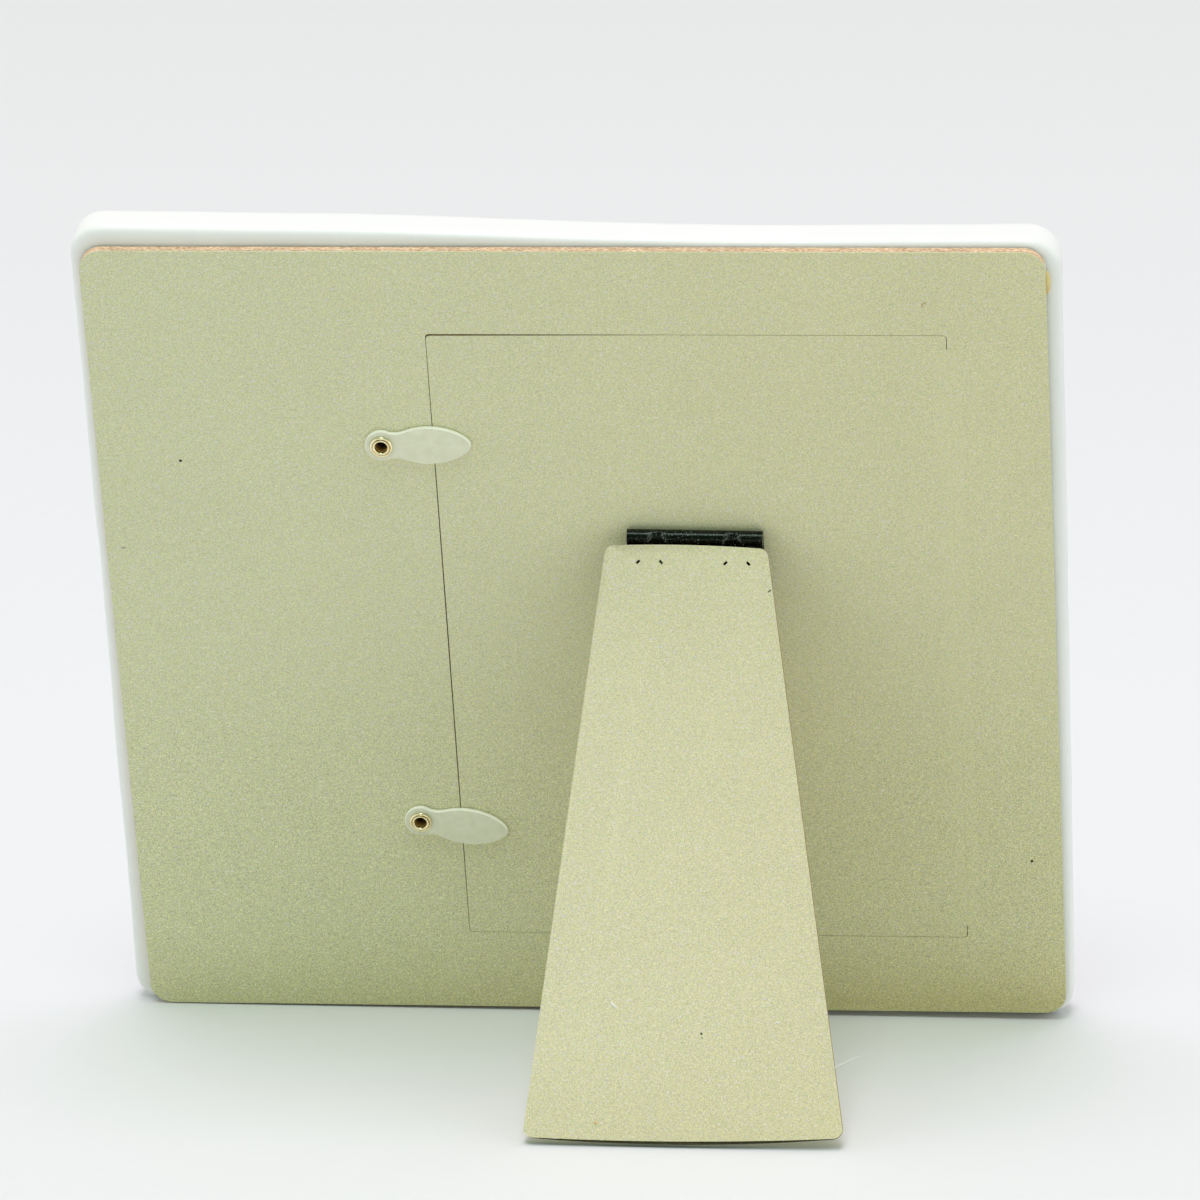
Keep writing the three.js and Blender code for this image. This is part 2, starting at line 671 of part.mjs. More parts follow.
function eyeletGeometry() {
  const bore = eyeletBore / 2;
  const flange = eyeletFlange / 2;
  const clinch = eyeletClinch / 2;
  const flangeBase = tabBase + tabThickness + seatGap;
  const top = flangeBase + eyeletFlangeHeight;
  const clinchTop = glueGap - seatGap;
  const bottom = clinchTop - eyeletClinchHeight;
  const profile = [
    new THREE.Vector2(bore, bottom + eyeletRound),
    new THREE.Vector2(bore + eyeletRound, bottom),
    new THREE.Vector2(clinch - eyeletRound, bottom),
    new THREE.Vector2(clinch, bottom + eyeletRound),
    new THREE.Vector2(clinch, clinchTop),
    new THREE.Vector2(barrelRadius, clinchTop),
    new THREE.Vector2(barrelRadius, flangeBase),
    new THREE.Vector2(flange, flangeBase),
    new THREE.Vector2(flange, top - eyeletRound),
    new THREE.Vector2(flange - eyeletRound, top),
    new THREE.Vector2(bore + eyeletRound, top),
    new THREE.Vector2(bore, top - eyeletRound),
  ];
  profile.push(profile[0].clone());
  return new THREE.LatheGeometry(profile, circleSteps).rotateX(Math.PI / 2);
}

// Assembly

function piece(name, geometry, material) {
  const mesh = new THREE.Mesh(geometry, material);
  mesh.name = name;
  return mesh;
}

const glassBase = -pocketDepth + seatGap;
const printBase = glassBase + glassThickness + seatGap;
const cardBase = printBase + photoThickness + seatGap;

const lying = new THREE.Group();
lying.add(piece("frame_moulding", mouldingGeometry(), castResin));
lying.add(piece("glass_pane", pocketSheet(glassThickness, glassBase), clearGlass));
lying.add(piece("photo_print", pocketSheet(photoThickness, printBase), printPaper));
lying.add(piece("filler_card", pocketSheet(cardThickness, cardBase), greyCard));

const back = new THREE.Group();
back.position.set(backCentre.x, backCentre.y, 0);
back.rotation.z = THREE.MathUtils.degToRad(backTwist);
back.add(piece("glue_line", glueGeometry(), yellowGlue));
back.add(piece("backing_core", backLayer(coreThickness, glueGap, sawnCorner), hardboard));
back.add(piece("backing_facing", backLayer(facingThickness, facingBase, doorCorner + doorSlit), velourPaper));
back.add(piece("door_core", doorLayer(coreThickness, glueGap), hardboard));
back.add(piece("door_facing", doorLayer(facingThickness, facingBase), velourPaper));
lying.add(back);

const tabs = [
  ["upper", upperEyelet, upperTabTilt],
  ["lower", lowerEyelet, lowerTabTilt],
];
for (const [name, eyelet, tilt] of tabs) {
  const tab = piece(`${name}_turn_tab`, tabGeometry(), milkyPlastic);
  tab.position.set(eyelet.x, eyelet.y, tabBase);
  tab.rotation.z = THREE.MathUtils.degToRad(tilt);
  const rivet = piece(`${name}_eyelet`, eyeletGeometry(), brass);
  rivet.position.set(eyelet.x, eyelet.y, 0);
  back.add(tab, rivet);
}

const hinge = new THREE.Group();
hinge.position.set(doorX, hingeY, hingeZ);
hinge.rotation.z = THREE.MathUtils.degToRad(hingeSkew);
hinge.add(piece("hinge_door_leaf", doorLeafGeometry(), blackEnamel));
hinge.add(piece("hinge_pin", pinGeometry(), steelWire));
back.add(hinge);

const strut = new THREE.Group();
strut.rotation.x = -THREE.MathUtils.degToRad(strutOpening);
strut.add(piece("hinge_strut_leaf", strutLeafGeometry(), blackEnamel));
strut.add(piece("strut_lining", strutLayer(liningThickness, liningBase, liningInset), liningPaper));
strut.add(piece("strut_core", strutLayer(coreThickness, strutCoreBase, 0), hardboard));
strut.add(piece("strut_facing", strutLayer(facingThickness, strutFacingBase, 0), velourPaper));
hinge.add(strut);

// Stood up: leaning back, its picture towards -Y, centred on its footprint with its lowest point at z = 0.
lying.rotation.set(Math.PI / 2 + THREE.MathUtils.degToRad(lean), 0, Math.PI, "ZXY");
const photoFrame = new THREE.Group();
photoFrame.add(lying);
const box = new THREE.Box3().setFromObject(photoFrame, true);
const footprint = box.getCenter(new THREE.Vector3());
lying.position.set(-footprint.x, -footprint.y, -box.min.z);

export default photoFrame;
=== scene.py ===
# %% [markdown]
# # A tabletop photo frame, seen from behind
#
# The frame is a soft-edged white casting with an off-centre window. Its back is a sheet of hardboard
# faced with green velour paper. A door is cut into that sheet on three sides and creased on the fourth,
# two plastic tabs hold it shut, and a rolled steel hinge carries the strut that the frame leans on.
#
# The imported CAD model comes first. It fixes where every piece is and how it moves. The back, the door, the
# print with its card and glass, the strut's hinge leaf and the pin keep their CAD solids and get new
# materials. The strut's layers are trimmed copies of theirs. The casting, the glue, the hinge tube, the
# tabs and the eyelets are modelled again here with the soft edges that a machined solid lacks. A pressed
# strip over the crease and some lint are added to them.

# %% Load the fixed frame
import json
import math
from math import cos, pi, radians, sin

import bmesh
import bpy
from mathutils import Euler, Matrix, Vector

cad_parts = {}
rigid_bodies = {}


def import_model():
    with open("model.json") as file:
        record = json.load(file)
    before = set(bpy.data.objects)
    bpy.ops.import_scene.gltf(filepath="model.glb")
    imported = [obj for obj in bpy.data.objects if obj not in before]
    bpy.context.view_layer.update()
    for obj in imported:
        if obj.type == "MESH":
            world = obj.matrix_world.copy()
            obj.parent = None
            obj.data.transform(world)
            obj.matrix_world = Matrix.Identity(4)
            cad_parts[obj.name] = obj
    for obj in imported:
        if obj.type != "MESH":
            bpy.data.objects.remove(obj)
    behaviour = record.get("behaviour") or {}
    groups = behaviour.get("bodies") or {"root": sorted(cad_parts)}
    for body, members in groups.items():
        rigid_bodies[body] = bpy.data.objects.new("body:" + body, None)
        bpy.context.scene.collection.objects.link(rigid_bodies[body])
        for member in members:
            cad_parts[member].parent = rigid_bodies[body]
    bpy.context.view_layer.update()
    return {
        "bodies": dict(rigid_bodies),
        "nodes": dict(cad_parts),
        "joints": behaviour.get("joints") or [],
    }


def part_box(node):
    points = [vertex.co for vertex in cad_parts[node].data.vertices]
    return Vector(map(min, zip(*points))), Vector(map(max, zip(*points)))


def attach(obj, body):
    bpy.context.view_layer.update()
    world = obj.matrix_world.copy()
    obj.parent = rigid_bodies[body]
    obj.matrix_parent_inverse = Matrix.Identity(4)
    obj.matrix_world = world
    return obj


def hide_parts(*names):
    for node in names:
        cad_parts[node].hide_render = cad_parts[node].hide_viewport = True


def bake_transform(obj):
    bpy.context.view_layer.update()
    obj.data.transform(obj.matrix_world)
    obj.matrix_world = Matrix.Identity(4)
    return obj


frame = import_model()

nodes = frame["nodes"]
joints = {joint["name"]: joint for joint in frame["joints"]}
MM = 0.001
print("bodies:", ", ".join(frame["bodies"]))

# %% [markdown]
# ## The camera
#
# The photograph was taken from behind, a little above and to the right of the frame's middle, with a
# long lens. A camera fitted to the corners of the back, the door and the strut gives these numbers.

# %% The camera
bpy.ops.object.select_all(action="DESELECT")
bpy.ops.object.camera_add(
    location=(-0.198804, 1.691758, 0.622294),
    rotation=(radians(73.26984), radians(1.05445), radians(-173.81273)),
)
camera = bpy.context.object
camera.name = "photograph_camera"
camera.data.lens = 240.24
camera.data.sensor_width = 36
camera.data.clip_end = 60
bpy.context.scene.camera = camera
bpy.context.scene.view_settings.view_transform = "Standard"
print("camera at", tuple(round(part, 3) for part in camera.location))

# %% [markdown]
# ## Small helpers
#
# Every piece below is made the way a modeller works by hand: select one object, pick edges or faces by
# where they are, run a tool, apply a modifier. These helpers keep those steps short.
#
# Sizes are in millimetres on the drawing and in metres in the scene, so lengths are written times `MM`.
# A piece is drawn lying on its face, with x to the right and y up as seen from behind and z out of the
# back. `place` then stands it up and puts that place into its mesh.

# %% Small helpers
def only(piece):
    """Makes one object the selected and active one."""
    bpy.ops.object.select_all(action="DESELECT")
    piece.select_set(True)
    bpy.context.view_layer.objects.active = piece


def choose(kind, test):
    """Selects the verts or edges of the open mesh that pass a test."""
    bpy.ops.mesh.select_mode(type=kind)
    bpy.ops.mesh.select_all(action="DESELECT")
    open_mesh = bmesh.from_edit_mesh(bpy.context.edit_object.data)
    for part in {"VERT": open_mesh.verts, "EDGE": open_mesh.edges}[kind]:
        if test(part):
            part.select_set(True)
    open_mesh.select_flush_mode()
    bmesh.update_edit_mesh(bpy.context.edit_object.data)


def at_height(z, reach=0.01 * MM):
    """A test for edges whose two ends are at one height."""
    return lambda edge: all(abs(vert.co.z - z) < reach for vert in edge.verts)


def modify(piece, kind, **settings):
    """Adds one modifier, sets it and applies it."""
    only(piece)
    modifier = piece.modifiers.new(kind.title(), kind)
    for name, value in settings.items():
        setattr(modifier, name, value)
    bpy.ops.object.modifier_apply(modifier=modifier.name)


def block(name, low, high):
    """A box from one corner to the other."""
    low, high = Vector(low), Vector(high)
    bpy.ops.object.select_all(action="DESELECT")
    bpy.ops.mesh.primitive_cube_add(size=1, location=(low + high) / 2)
    piece = bpy.context.object
    piece.name = name
    piece.scale = high - low
    bpy.ops.object.transform_apply(location=True, rotation=True, scale=True)
    return piece


def cut(piece, cutter):
    """Cuts one piece out of another and throws the cutter away."""
    modify(piece, "BOOLEAN", object=cutter, operation="DIFFERENCE", solver="EXACT")
    bpy.data.objects.remove(cutter)


def place(piece, matrix):
    """Stands a drawn piece where it belongs, with its place in its mesh."""
    only(piece)
    piece.matrix_world = matrix
    bpy.ops.object.transform_apply(location=True, rotation=True, scale=True)


def turned_at(spot, twist):
    """A place at a spot on the drawing, turned in its plane by some degrees."""
    return Matrix.Translation(spot) @ Matrix.Rotation(radians(twist), 4, "Z")


lean = 15
foot_spot = (0, -40.757 * MM, -0.508 * MM)
leaning = Euler((radians(90 + lean), 0, radians(180))).to_matrix().to_4x4()
stand = Matrix.Translation(foot_spot) @ leaning
back_spot, back_twist = (0.5 * MM, 102 * MM, 0), 0.46
hinge_spot, hinge_twist = (26.8 * MM, 28.36 * MM, 4.4 * MM), -0.75
back_place = stand @ turned_at(back_spot, back_twist)
hinge_place = back_place @ turned_at(hinge_spot, hinge_twist)
print("the back's middle stands at", tuple(round(part, 4) for part in back_place.translation))

# %% [markdown]
# ## Materials as sums
#
# A procedural material is a sum of noises. Written out node by node it takes a page, so `Wire` wraps one
# output socket and takes part in Python arithmetic, and `Paint` holds one material. Numbers go through
# Math nodes, colours and vectors through Vector Math and Mix nodes. `Paint.node` makes any other node
# from its type, its settings and the values of its sockets.
#
# All textures read Object coordinates. Every piece has its place in its mesh, so one pattern runs on
# from the board to the door without a jump, as it does on the one sheet of paper they were cut from.

# %% Materials as sums
class Wire:
    """One output socket, which takes part in sums like a number."""

    def __init__(self, paint, socket):
        self.paint, self.socket = paint, socket

    def __add__(self, other):
        return self.paint.maths("ADD", self, other)

    def __radd__(self, other):
        return self.paint.maths("ADD", other, self)

    def __sub__(self, other):
        return self.paint.maths("SUBTRACT", self, other)

    def __rsub__(self, other):
        return self.paint.maths("SUBTRACT", other, self)

    def __mul__(self, other):
        return self.paint.maths("MULTIPLY", self, other)

    def __rmul__(self, other):
        return self.paint.maths("MULTIPLY", other, self)

    def __truediv__(self, other):
        return self.paint.maths("DIVIDE", self, other)

    def __rtruediv__(self, other):
        return self.paint.maths("DIVIDE", other, self)


class Paint:
    """One procedural material."""

    def __init__(self, name, **constants):
        self.material = bpy.data.materials.new(name)
        self.material.use_nodes = True
        self.tree = self.material.node_tree
        self.shader = self.tree.nodes["Principled BSDF"]
        for socket, value in constants.items():
            self.feed(socket.replace("_", " "), value)
        self.at = self.node("ShaderNodeTexCoord", output="Object")

    def join(self, value, socket):
        """Links a wire to a socket, or sets the socket to a value."""
        if isinstance(value, Wire):
            self.tree.links.new(value.socket, socket)
        elif socket.type == "RGBA" and isinstance(value, tuple) and len(value) == 3:
            socket.default_value = (*value, 1)
        elif socket.type == "VECTOR" and not isinstance(value, tuple):
            socket.default_value = (value, value, value)
        else:
            socket.default_value = value

    def feed(self, socket, value):
        """Gives the shader's own socket a wire or a value."""
        self.join(value, self.shader.inputs[socket])

    def node(self, kind, settings=None, sockets=None, output=0):
        """Any node: its type, its settings, then its sockets by name or number."""
        made = self.tree.nodes.new(kind)
        for name, value in (settings or {}).items():
            setattr(made, name, value)
        for name, value in (sockets or {}).items():
            self.join(value, made.inputs[name])
        return Wire(self, made.outputs[output])

    def maths(self, operation, left, right):
        """A sum of two numbers, colours or vectors."""
        many = any(
            isinstance(side, tuple) or isinstance(side, Wire) and side.socket.type in ("RGBA", "VECTOR")
            for side in (left, right)
        )
        kind = "ShaderNodeVectorMath" if many else "ShaderNodeMath"
        return self.node(kind, {"operation": operation}, {0: left, 1: right})

    def mix(self, share, first, second):
        """One colour turning into another as share goes from 0 to 1."""
        return self.node("ShaderNodeMix", {"data_type": "RGBA"}, {0: share, 6: first, 7: second}, 2)

    def grain(self, size, detail=2.0, at=None):
        """Soft patches of about this size, between 0 and 1."""
        sockets = {"Vector": at or self.at, "Scale": 1 / size, "Detail": detail}
        return self.node("ShaderNodeTexNoise", {}, sockets)

    def rise(self, value, low, high):
        """0 below low, 1 above high, smooth between them."""
        settings = {"interpolation_type": "SMOOTHSTEP"}
        return self.node("ShaderNodeMapRange", settings, {"Value": value, "From Min": low, "From Max": high})

    def part(self, axis):
        """One of the three coordinates."""
        return self.node("ShaderNodeSeparateXYZ", {}, {0: self.at}, axis)

    def turned(self, turn, stretch):
        """The coordinates turned and stretched, for a grain that has a direction."""
        return self.node(
            "ShaderNodeMapping",
            {"vector_type": "POINT"},
            {"Vector": self.at, "Rotation": turn, "Scale": stretch},
        )

    def bump(self, height, depth, strength=1.0):
        """Small relief: height from 0 to 1 times a depth in metres."""
        sockets = {"Strength": strength, "Distance": depth, "Height": height}
        self.feed("Normal", self.node("ShaderNodeBump", {}, sockets))

    def coat(self, *pieces):
        """Gives the material to pieces or CAD nodes."""
        for piece in pieces:
            piece.data.materials.clear()
            piece.data.materials.append(self.material)


print("shader helpers are ready")

# %% [markdown]
# ## Floor and light
#
# The photograph has one pale, even ground all round, so a single wide matt plane is the floor and the
# background at once, with a trace of fibre for the shadow to lie on. Its colour is painted paler towards the
# camera and darker far behind, as painted light.
#
# The light is a dome and two soft lamps overhead, one of them a little towards the camera. The dome is
# brightest at both sides, where a white sweep would stand, and darker and greener towards the camera. That
# is why the rim round the back shades off inwards and the black hinge stays black. A sky is made with the
# same sums as a material, so it borrows them.

# %% Floor and light
bpy.ops.object.select_all(action="DESELECT")
bpy.ops.mesh.primitive_plane_add(size=24, location=(0, 0, 0))
floor = bpy.context.object
floor.name = "floor"
far_edge, near_edge = -2.0, 0.5
far_ground, near_ground = (0.648, 0.651, 0.647), (0.775, 0.785, 0.795)
paint = Paint("pale_ground", Roughness=0.9, Specular_IOR_Level=0.1)
# The ground is painted paler towards the camera, as painted light.
ground = paint.mix(paint.rise(paint.part("Y"), far_edge, near_edge), far_ground, near_ground)
paint.feed("Base Color", ground * (0.99 + paint.grain(4 * MM) * 0.02))
paint.coat(floor)


class Sky(Paint):
    """The light that comes from all round."""

    def __init__(self, name):
        self.world = bpy.data.worlds.new(name)
        self.world.use_nodes = True
        self.tree = self.world.node_tree
        self.shader = self.tree.nodes["Background"]
        self.at = self.node("ShaderNodeTexCoord", output="Generated")


sky = Sky("light_tent")
bpy.context.scene.world = sky.world
behind_frame, behind_camera = (0.58, 0.535, 0.56), (0.18, 0.325, 0.2)
side_light, upper_light, left_loss = 0.7, 0.09, 0.03
room = sky.mix(sky.part("Y") * 0.5 + 0.5, behind_frame, behind_camera)
sides = sky.part("X") * sky.part("X") * side_light
sky.feed("Color", room + (sides + sky.part("Z") * upper_light - sky.part("X") * left_loss))
sky.feed("Strength", 1.0)

lamp_softness = radians(26)
for name, tilt, energy, colour in (
    ("overhead_lamp", 0, 0.93, (1.0, 0.806, 0.935)),
    ("near_lamp", 25, 1.05, (0.895, 0.953, 1.0)),
):
    bpy.ops.object.light_add(type="SUN", rotation=(-radians(tilt), 0, 0), location=(0, 0, 1.5))
    lamp = bpy.context.object
    lamp.name = name
    lamp.data.energy = energy
    lamp.data.color = colour
    lamp.data.angle = lamp_softness
print("floor, sky and lamps are set")

# %% [markdown]
# ## Velour paper
#
# The back is faced with flocked paper: a fine, dry, olive-green pile. Close up it is a mix of greener,
# yellower and greyer tufts about a third of a millimetre across, with a soft cloudiness over a few
# centimetres and a rare darker fleck. Flock scatters light back at a low angle, which is what the sheen is
# for.
#
# Age has worked on it too: it has yellowed a little towards the right. Its lower half has a coarser pile and
# is painted a little darker as shade, and the last few centimetres above the table are painted darker still
# as shade. The strut's paper gets only a fifth of that coarser pile and painted shade, and is a little
# warmer.
# The lining under the strut is the same paper with less pile. One function makes all of them.

# %% Velour paper
tuft_size, hue_size, cloud_size, fleck_spacing = 0.27 * MM, 0.34 * MM, 28 * MM, 13 * MM
pile_and_shade_from, pile_and_shade_below, bottom_shade_below, back_reach = 110 * MM, 40 * MM, 30 * MM, 110 * MM
green, yellow, grey = (0.668, 0.702, 0.441), (0.748, 0.682, 0.40), (0.738, 0.716, 0.729)
plain, lower_shade, bottom_shade = (1, 1, 1), (0.985, 0.988, 0.945), (0.87, 0.83, 0.71)
yellowed, unfaded, fleck_brown = (1.012, 0.995, 0.965), (0.99, 1.012, 1.03), (0.10, 0.075, 0.04)


def velour(name, pile, level=0.965, tint=plain, shade_and_pile_share=1.0):
    """Flocked paper with a depth of pile, a level of light, a tint, and a share of coarser pile and painted
    shade towards the bottom.
    """
    paint = Paint(name, Roughness=0.95, Specular_IOR_Level=0.15, Sheen_Weight=0.12, Sheen_Roughness=0.5)
    tuft = paint.grain(tuft_size, 3)
    hue = paint.grain(hue_size, 2, at=paint.at + (0.3, 0.1, 0.7))
    cloud = paint.grain(cloud_size, 3)
    shade = paint.mix(paint.rise(hue, 0.36, 0.52), green, yellow)
    shade = paint.mix(paint.rise(hue, 0.54, 0.68), shade, grey)
    # Below about 11 cm the pile is coarser and the paper is painted a little darker as shade.
    low = paint.rise(0 - paint.part("Z"), -pile_and_shade_from, -pile_and_shade_below) * shade_and_pile_share
    light = level + (tuft - 0.5) * (1 + low * 0.7) * pile + (cloud - 0.5) * 0.07
    fresh = paint.rise(paint.part("X"), -back_reach, back_reach)
    light = light * tint * paint.mix(fresh, yellowed, unfaded)
    # The last 3 cm above the table are painted darker still as shade, more so at the left.
    foot = paint.maths("MAXIMUM", 1 - paint.part("Z") / bottom_shade_below, 0)
    light = light * paint.mix(foot * foot * (1.4 - fresh * 0.7) * shade_and_pile_share, plain, bottom_shade)
    # The lower half is painted darker here as shade.
    light = light * paint.mix(low, plain, lower_shade)
    fleck_cell = {"Vector": paint.at, "Scale": 1 / fleck_spacing}
    fleck = paint.node("ShaderNodeTexVoronoi", {"feature": "F1"}, fleck_cell, "Distance")
    lot = paint.node("ShaderNodeTexVoronoi", {"feature": "F1"}, fleck_cell, "Color")
    lot = paint.node("ShaderNodeSeparateXYZ", {}, {0: lot}, "X")
    fleck = (1 - paint.rise(fleck, 0.012, 0.022)) * paint.rise(lot, 0.88, 0.89)
    paint.feed("Base Color", paint.mix(fleck * 0.75, shade * light, fleck_brown))
    paint.bump(tuft + paint.grain(0.22 * MM, 2) * 0.6, 0.12 * MM, 0.5)
    return paint


velour("olive_velour", 0.95).coat(nodes["backing_facing"], nodes["door_facing"])
# The strut's paper gets only a fifth of the painted shade and coarser pile low down.
strut_facing = velour("warm_velour", 0.95, tint=(0.985, 0.965, 1.0), shade_and_pile_share=0.2)
lining = velour("thin_lining", 0.3)
print("velour on the back and the door, and ready for the strut")

# %% [markdown]
# ## Hardboard
#
# The boards are pressed wood fibre. While the door is shut only their sawn edges show: orange-brown, with
# pale fibres that lie flat in the board. The grain is a noise that is squeezed across the board's
# thickness. The boards lean, so the coordinates are turned by that angle first.
#
# Flock is smeared over the back's right edge, which looks green for that reason, and the strut's foot is
# painted near black as shade, for the shadow gap under its paper. Both are a colour that is mixed in by
# place.

# %% Hardboard
smear_from, smear_full, flock_green = 105 * MM, 105.6 * MM, (0.66, 0.68, 0.47)
foot_shade_from, foot_shade_full, foot_shade_black = 4 * MM, 2.5 * MM, (0.03, 0.035, 0.02)


def hardboard(name, turn, dark, light, flock=False, painted_shade=False):
    """Pressed fibre in a board that leans by some degrees, with two tones of fibre."""
    paint = Paint(name, Roughness=0.85, Specular_IOR_Level=0.2)
    along = paint.turned((radians(turn), 0, 0), (1, 6, 1))
    fibre = paint.grain(0.9 * MM, 4, at=along)
    streak = paint.grain(4.5 * MM, 2, at=along)
    shade = paint.mix(paint.rise(fibre, 0.34, 0.68), dark, light)
    shade = shade * (0.66 + streak * 0.7)
    if flock:
        right_side = paint.rise(0 - paint.part("X"), smear_from, smear_full)
        shade = paint.mix(right_side * 0.85, shade, flock_green)
    # The strut's foot is painted near black as shade, for the shadow gap under its paper.
    if painted_shade:
        foot = paint.rise(0 - paint.part("Z"), -foot_shade_from, -foot_shade_full)
        shade = paint.mix(foot * 0.92, shade, foot_shade_black)
    paint.feed("Base Color", shade)
    paint.bump(fibre, 0.2 * MM, 0.6)
    return paint


board = hardboard("sawn_hardboard", -lean, (0.46, 0.245, 0.115), (0.93, 0.75, 0.53), flock=True)
board.coat(nodes["backing_core"], nodes["door_core"])
strut_opening = 37
strut_lean = strut_opening - lean
strut_board = hardboard("dark_hardboard", strut_lean, (0.28, 0.16, 0.06), (0.64, 0.46, 0.24), painted_shade=True)
print("hardboard on the back and the door, and ready for the strut")

# %% [markdown]
# ## Print, card and glass
#
# These lie between the window and the door. The print is a plain sheet with a soft tone, as a frame is
# sold with a bare insert. The filler card is grey pulp board with darker fibres.

# %% Print, card and glass
paint = Paint("bare_insert", Roughness=0.45, Specular_IOR_Level=0.35)
low, high = (Vector(corner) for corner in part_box("photo_print"))
tone = paint.rise(paint.part("Z") + (paint.grain(30 * MM, 2) - 0.5) * 0.02, low.z, high.z)
paint.feed("Base Color", paint.mix(tone, (0.80, 0.76, 0.68), (0.90, 0.90, 0.88)))
paint.bump(paint.grain(0.3 * MM), 0.02 * MM, 0.3)
paint.coat(nodes["photo_print"])

paint = Paint("pulp_card", Roughness=0.95, Specular_IOR_Level=0.1)
pulp = paint.grain(0.8 * MM, 5)
paint.feed("Base Color", paint.mix(paint.rise(pulp, 0.3, 0.75), (0.22, 0.20, 0.17), (0.46, 0.43, 0.37)))
paint.bump(pulp, 0.15 * MM, 0.5)
paint.coat(nodes["filler_card"])

paint = Paint("window_glass", Transmission_Weight=1.0, IOR=1.5)
paint.feed("Base Color", paint.mix(paint.grain(60 * MM), (0.95, 0.99, 0.97), (0.97, 1.0, 0.985)))
paint.feed("Roughness", paint.grain(9 * MM, 3) * 0.03)
paint.coat(nodes["glass_pane"])
print("print, card and glass are finished")

# %% [markdown]
# ## The casting
#
# The moulding is one resin casting: a flat field with softly rounded edges, a window with a rolled lip
# in front and a stepped pocket behind. Polished by hand, it is nowhere quite straight.
#
# It starts as a block. The upright corners are bevelled, then the back and front rims. The window, the
# pocket and two reliefs for the eyelets are cut into it and the window's front edge is rolled.

# %% The casting
moulding_width, moulding_height, moulding_depth = 218.4 * MM, 204.3 * MM, 11 * MM
front_round, back_round, window_round = 4 * MM, 2 * MM, 3 * MM
corner_rounds = {(-1, 1): 7.4 * MM, (1, 1): 7.8 * MM, (-1, -1): 6.2 * MM, (1, -1): 6.4 * MM}
window_centre = Vector((27.3 * MM, 102 * MM, 0))
window_width, window_height = 95.6 * MM, 146.4 * MM
pocket_width, pocket_height, pocket_depth = 103.2 * MM, 154 * MM, 4.25 * MM
window_corner, pocket_corner = 3 * MM, 1 * MM
relief_radius, relief_height = 4.7 * MM, 3 * MM
through, slack = 2 * MM, 0.1 * MM

half = moulding_width / 2
moulding = block("cast_moulding", (-half, 0, -moulding_depth), (half, moulding_height, 0))
bpy.ops.object.mode_set(mode="EDIT")
for (right, up), rounding in corner_rounds.items():
    corner = Vector((right * half, moulding_height / 2 * (1 + up)))
    choose("EDGE", lambda edge: all((vert.co.xy - corner).length < MM for vert in edge.verts))
    bpy.ops.mesh.bevel(offset=rounding, segments=12, affect="EDGES")
choose("EDGE", at_height(0))
bpy.ops.mesh.bevel(offset=back_round, segments=6, affect="EDGES")
choose("EDGE", at_height(-moulding_depth))
bpy.ops.mesh.bevel(offset=front_round, segments=8, affect="EDGES")
bpy.ops.object.mode_set(mode="OBJECT")


def opening(name, width, height, low, high, rounding):
    """A cutter for the window or the pocket, with rounded corners."""
    low_corner = window_centre - Vector((width / 2, height / 2, 0)) + Vector((0, 0, low))
    high_corner = window_centre + Vector((width / 2, height / 2, 0)) + Vector((0, 0, high))
    cutter = block(name, low_corner, high_corner)
    bpy.ops.object.mode_set(mode="EDIT")
    choose("EDGE", lambda edge: abs(edge.verts[0].co.z - edge.verts[1].co.z) > through)
    bpy.ops.mesh.bevel(offset=rounding, segments=6, affect="EDGES")
    bpy.ops.object.mode_set(mode="OBJECT")
    return cutter


def on_window(edge):
    """Whether an edge lies on the front rim of the window."""
    right, up = window_width / 2 + slack, window_height / 2 + slack
    away = [vert.co - window_centre for vert in edge.verts]
    inside = all(abs(x) < right and abs(y) < up for x, y, _ in away)
    return inside and at_height(-moulding_depth)(edge)


window_low = -moulding_depth - through
cut(moulding, opening("window_cutter", window_width, window_height, window_low, through, window_corner))
cut(moulding, opening("pocket_cutter", pocket_width, pocket_height, -pocket_depth, through, pocket_corner))
pivots = {}
for side in ("upper", "lower"):
    pivots[side] = back_place.inverted() @ Vector(joints[f"{side}_tab_turn"]["pos_m"])
    spot = stand.inverted() @ back_place @ Vector((pivots[side].x, pivots[side].y, 0))
    bpy.ops.object.select_all(action="DESELECT")
    bpy.ops.mesh.primitive_cylinder_add(
        vertices=32, radius=relief_radius, depth=relief_height, location=spot
    )
    cut(moulding, bpy.context.object)

only(moulding)
bpy.ops.object.mode_set(mode="EDIT")
choose("EDGE", on_window)
bpy.ops.mesh.bevel(offset=window_round, segments=8, affect="EDGES")
bpy.ops.object.mode_set(mode="OBJECT")
print("casting block:", len(moulding.data.polygons), "faces")

# %% [markdown]
# ## A soft, hand-polished surface
#
# A voxel remesh turns the block into even small faces, which are smoothed so that no edge is left sharp.
# Then the top edge is pushed out of line and the left one is bowed, as they are in the photograph. Both
# fade out towards the pocket, so it stays where it is. At the end a slow noise takes off up to half a
# millimetre everywhere.

# %% A soft, hand-polished surface
voxel_size, wander_size, wander_depth = 1.1 * MM, 24 * MM, 0.5 * MM
moulding.data.remesh_voxel_size = voxel_size
only(moulding)
bpy.ops.object.voxel_remesh()
modify(moulding, "SMOOTH", factor=0.5, iterations=5)

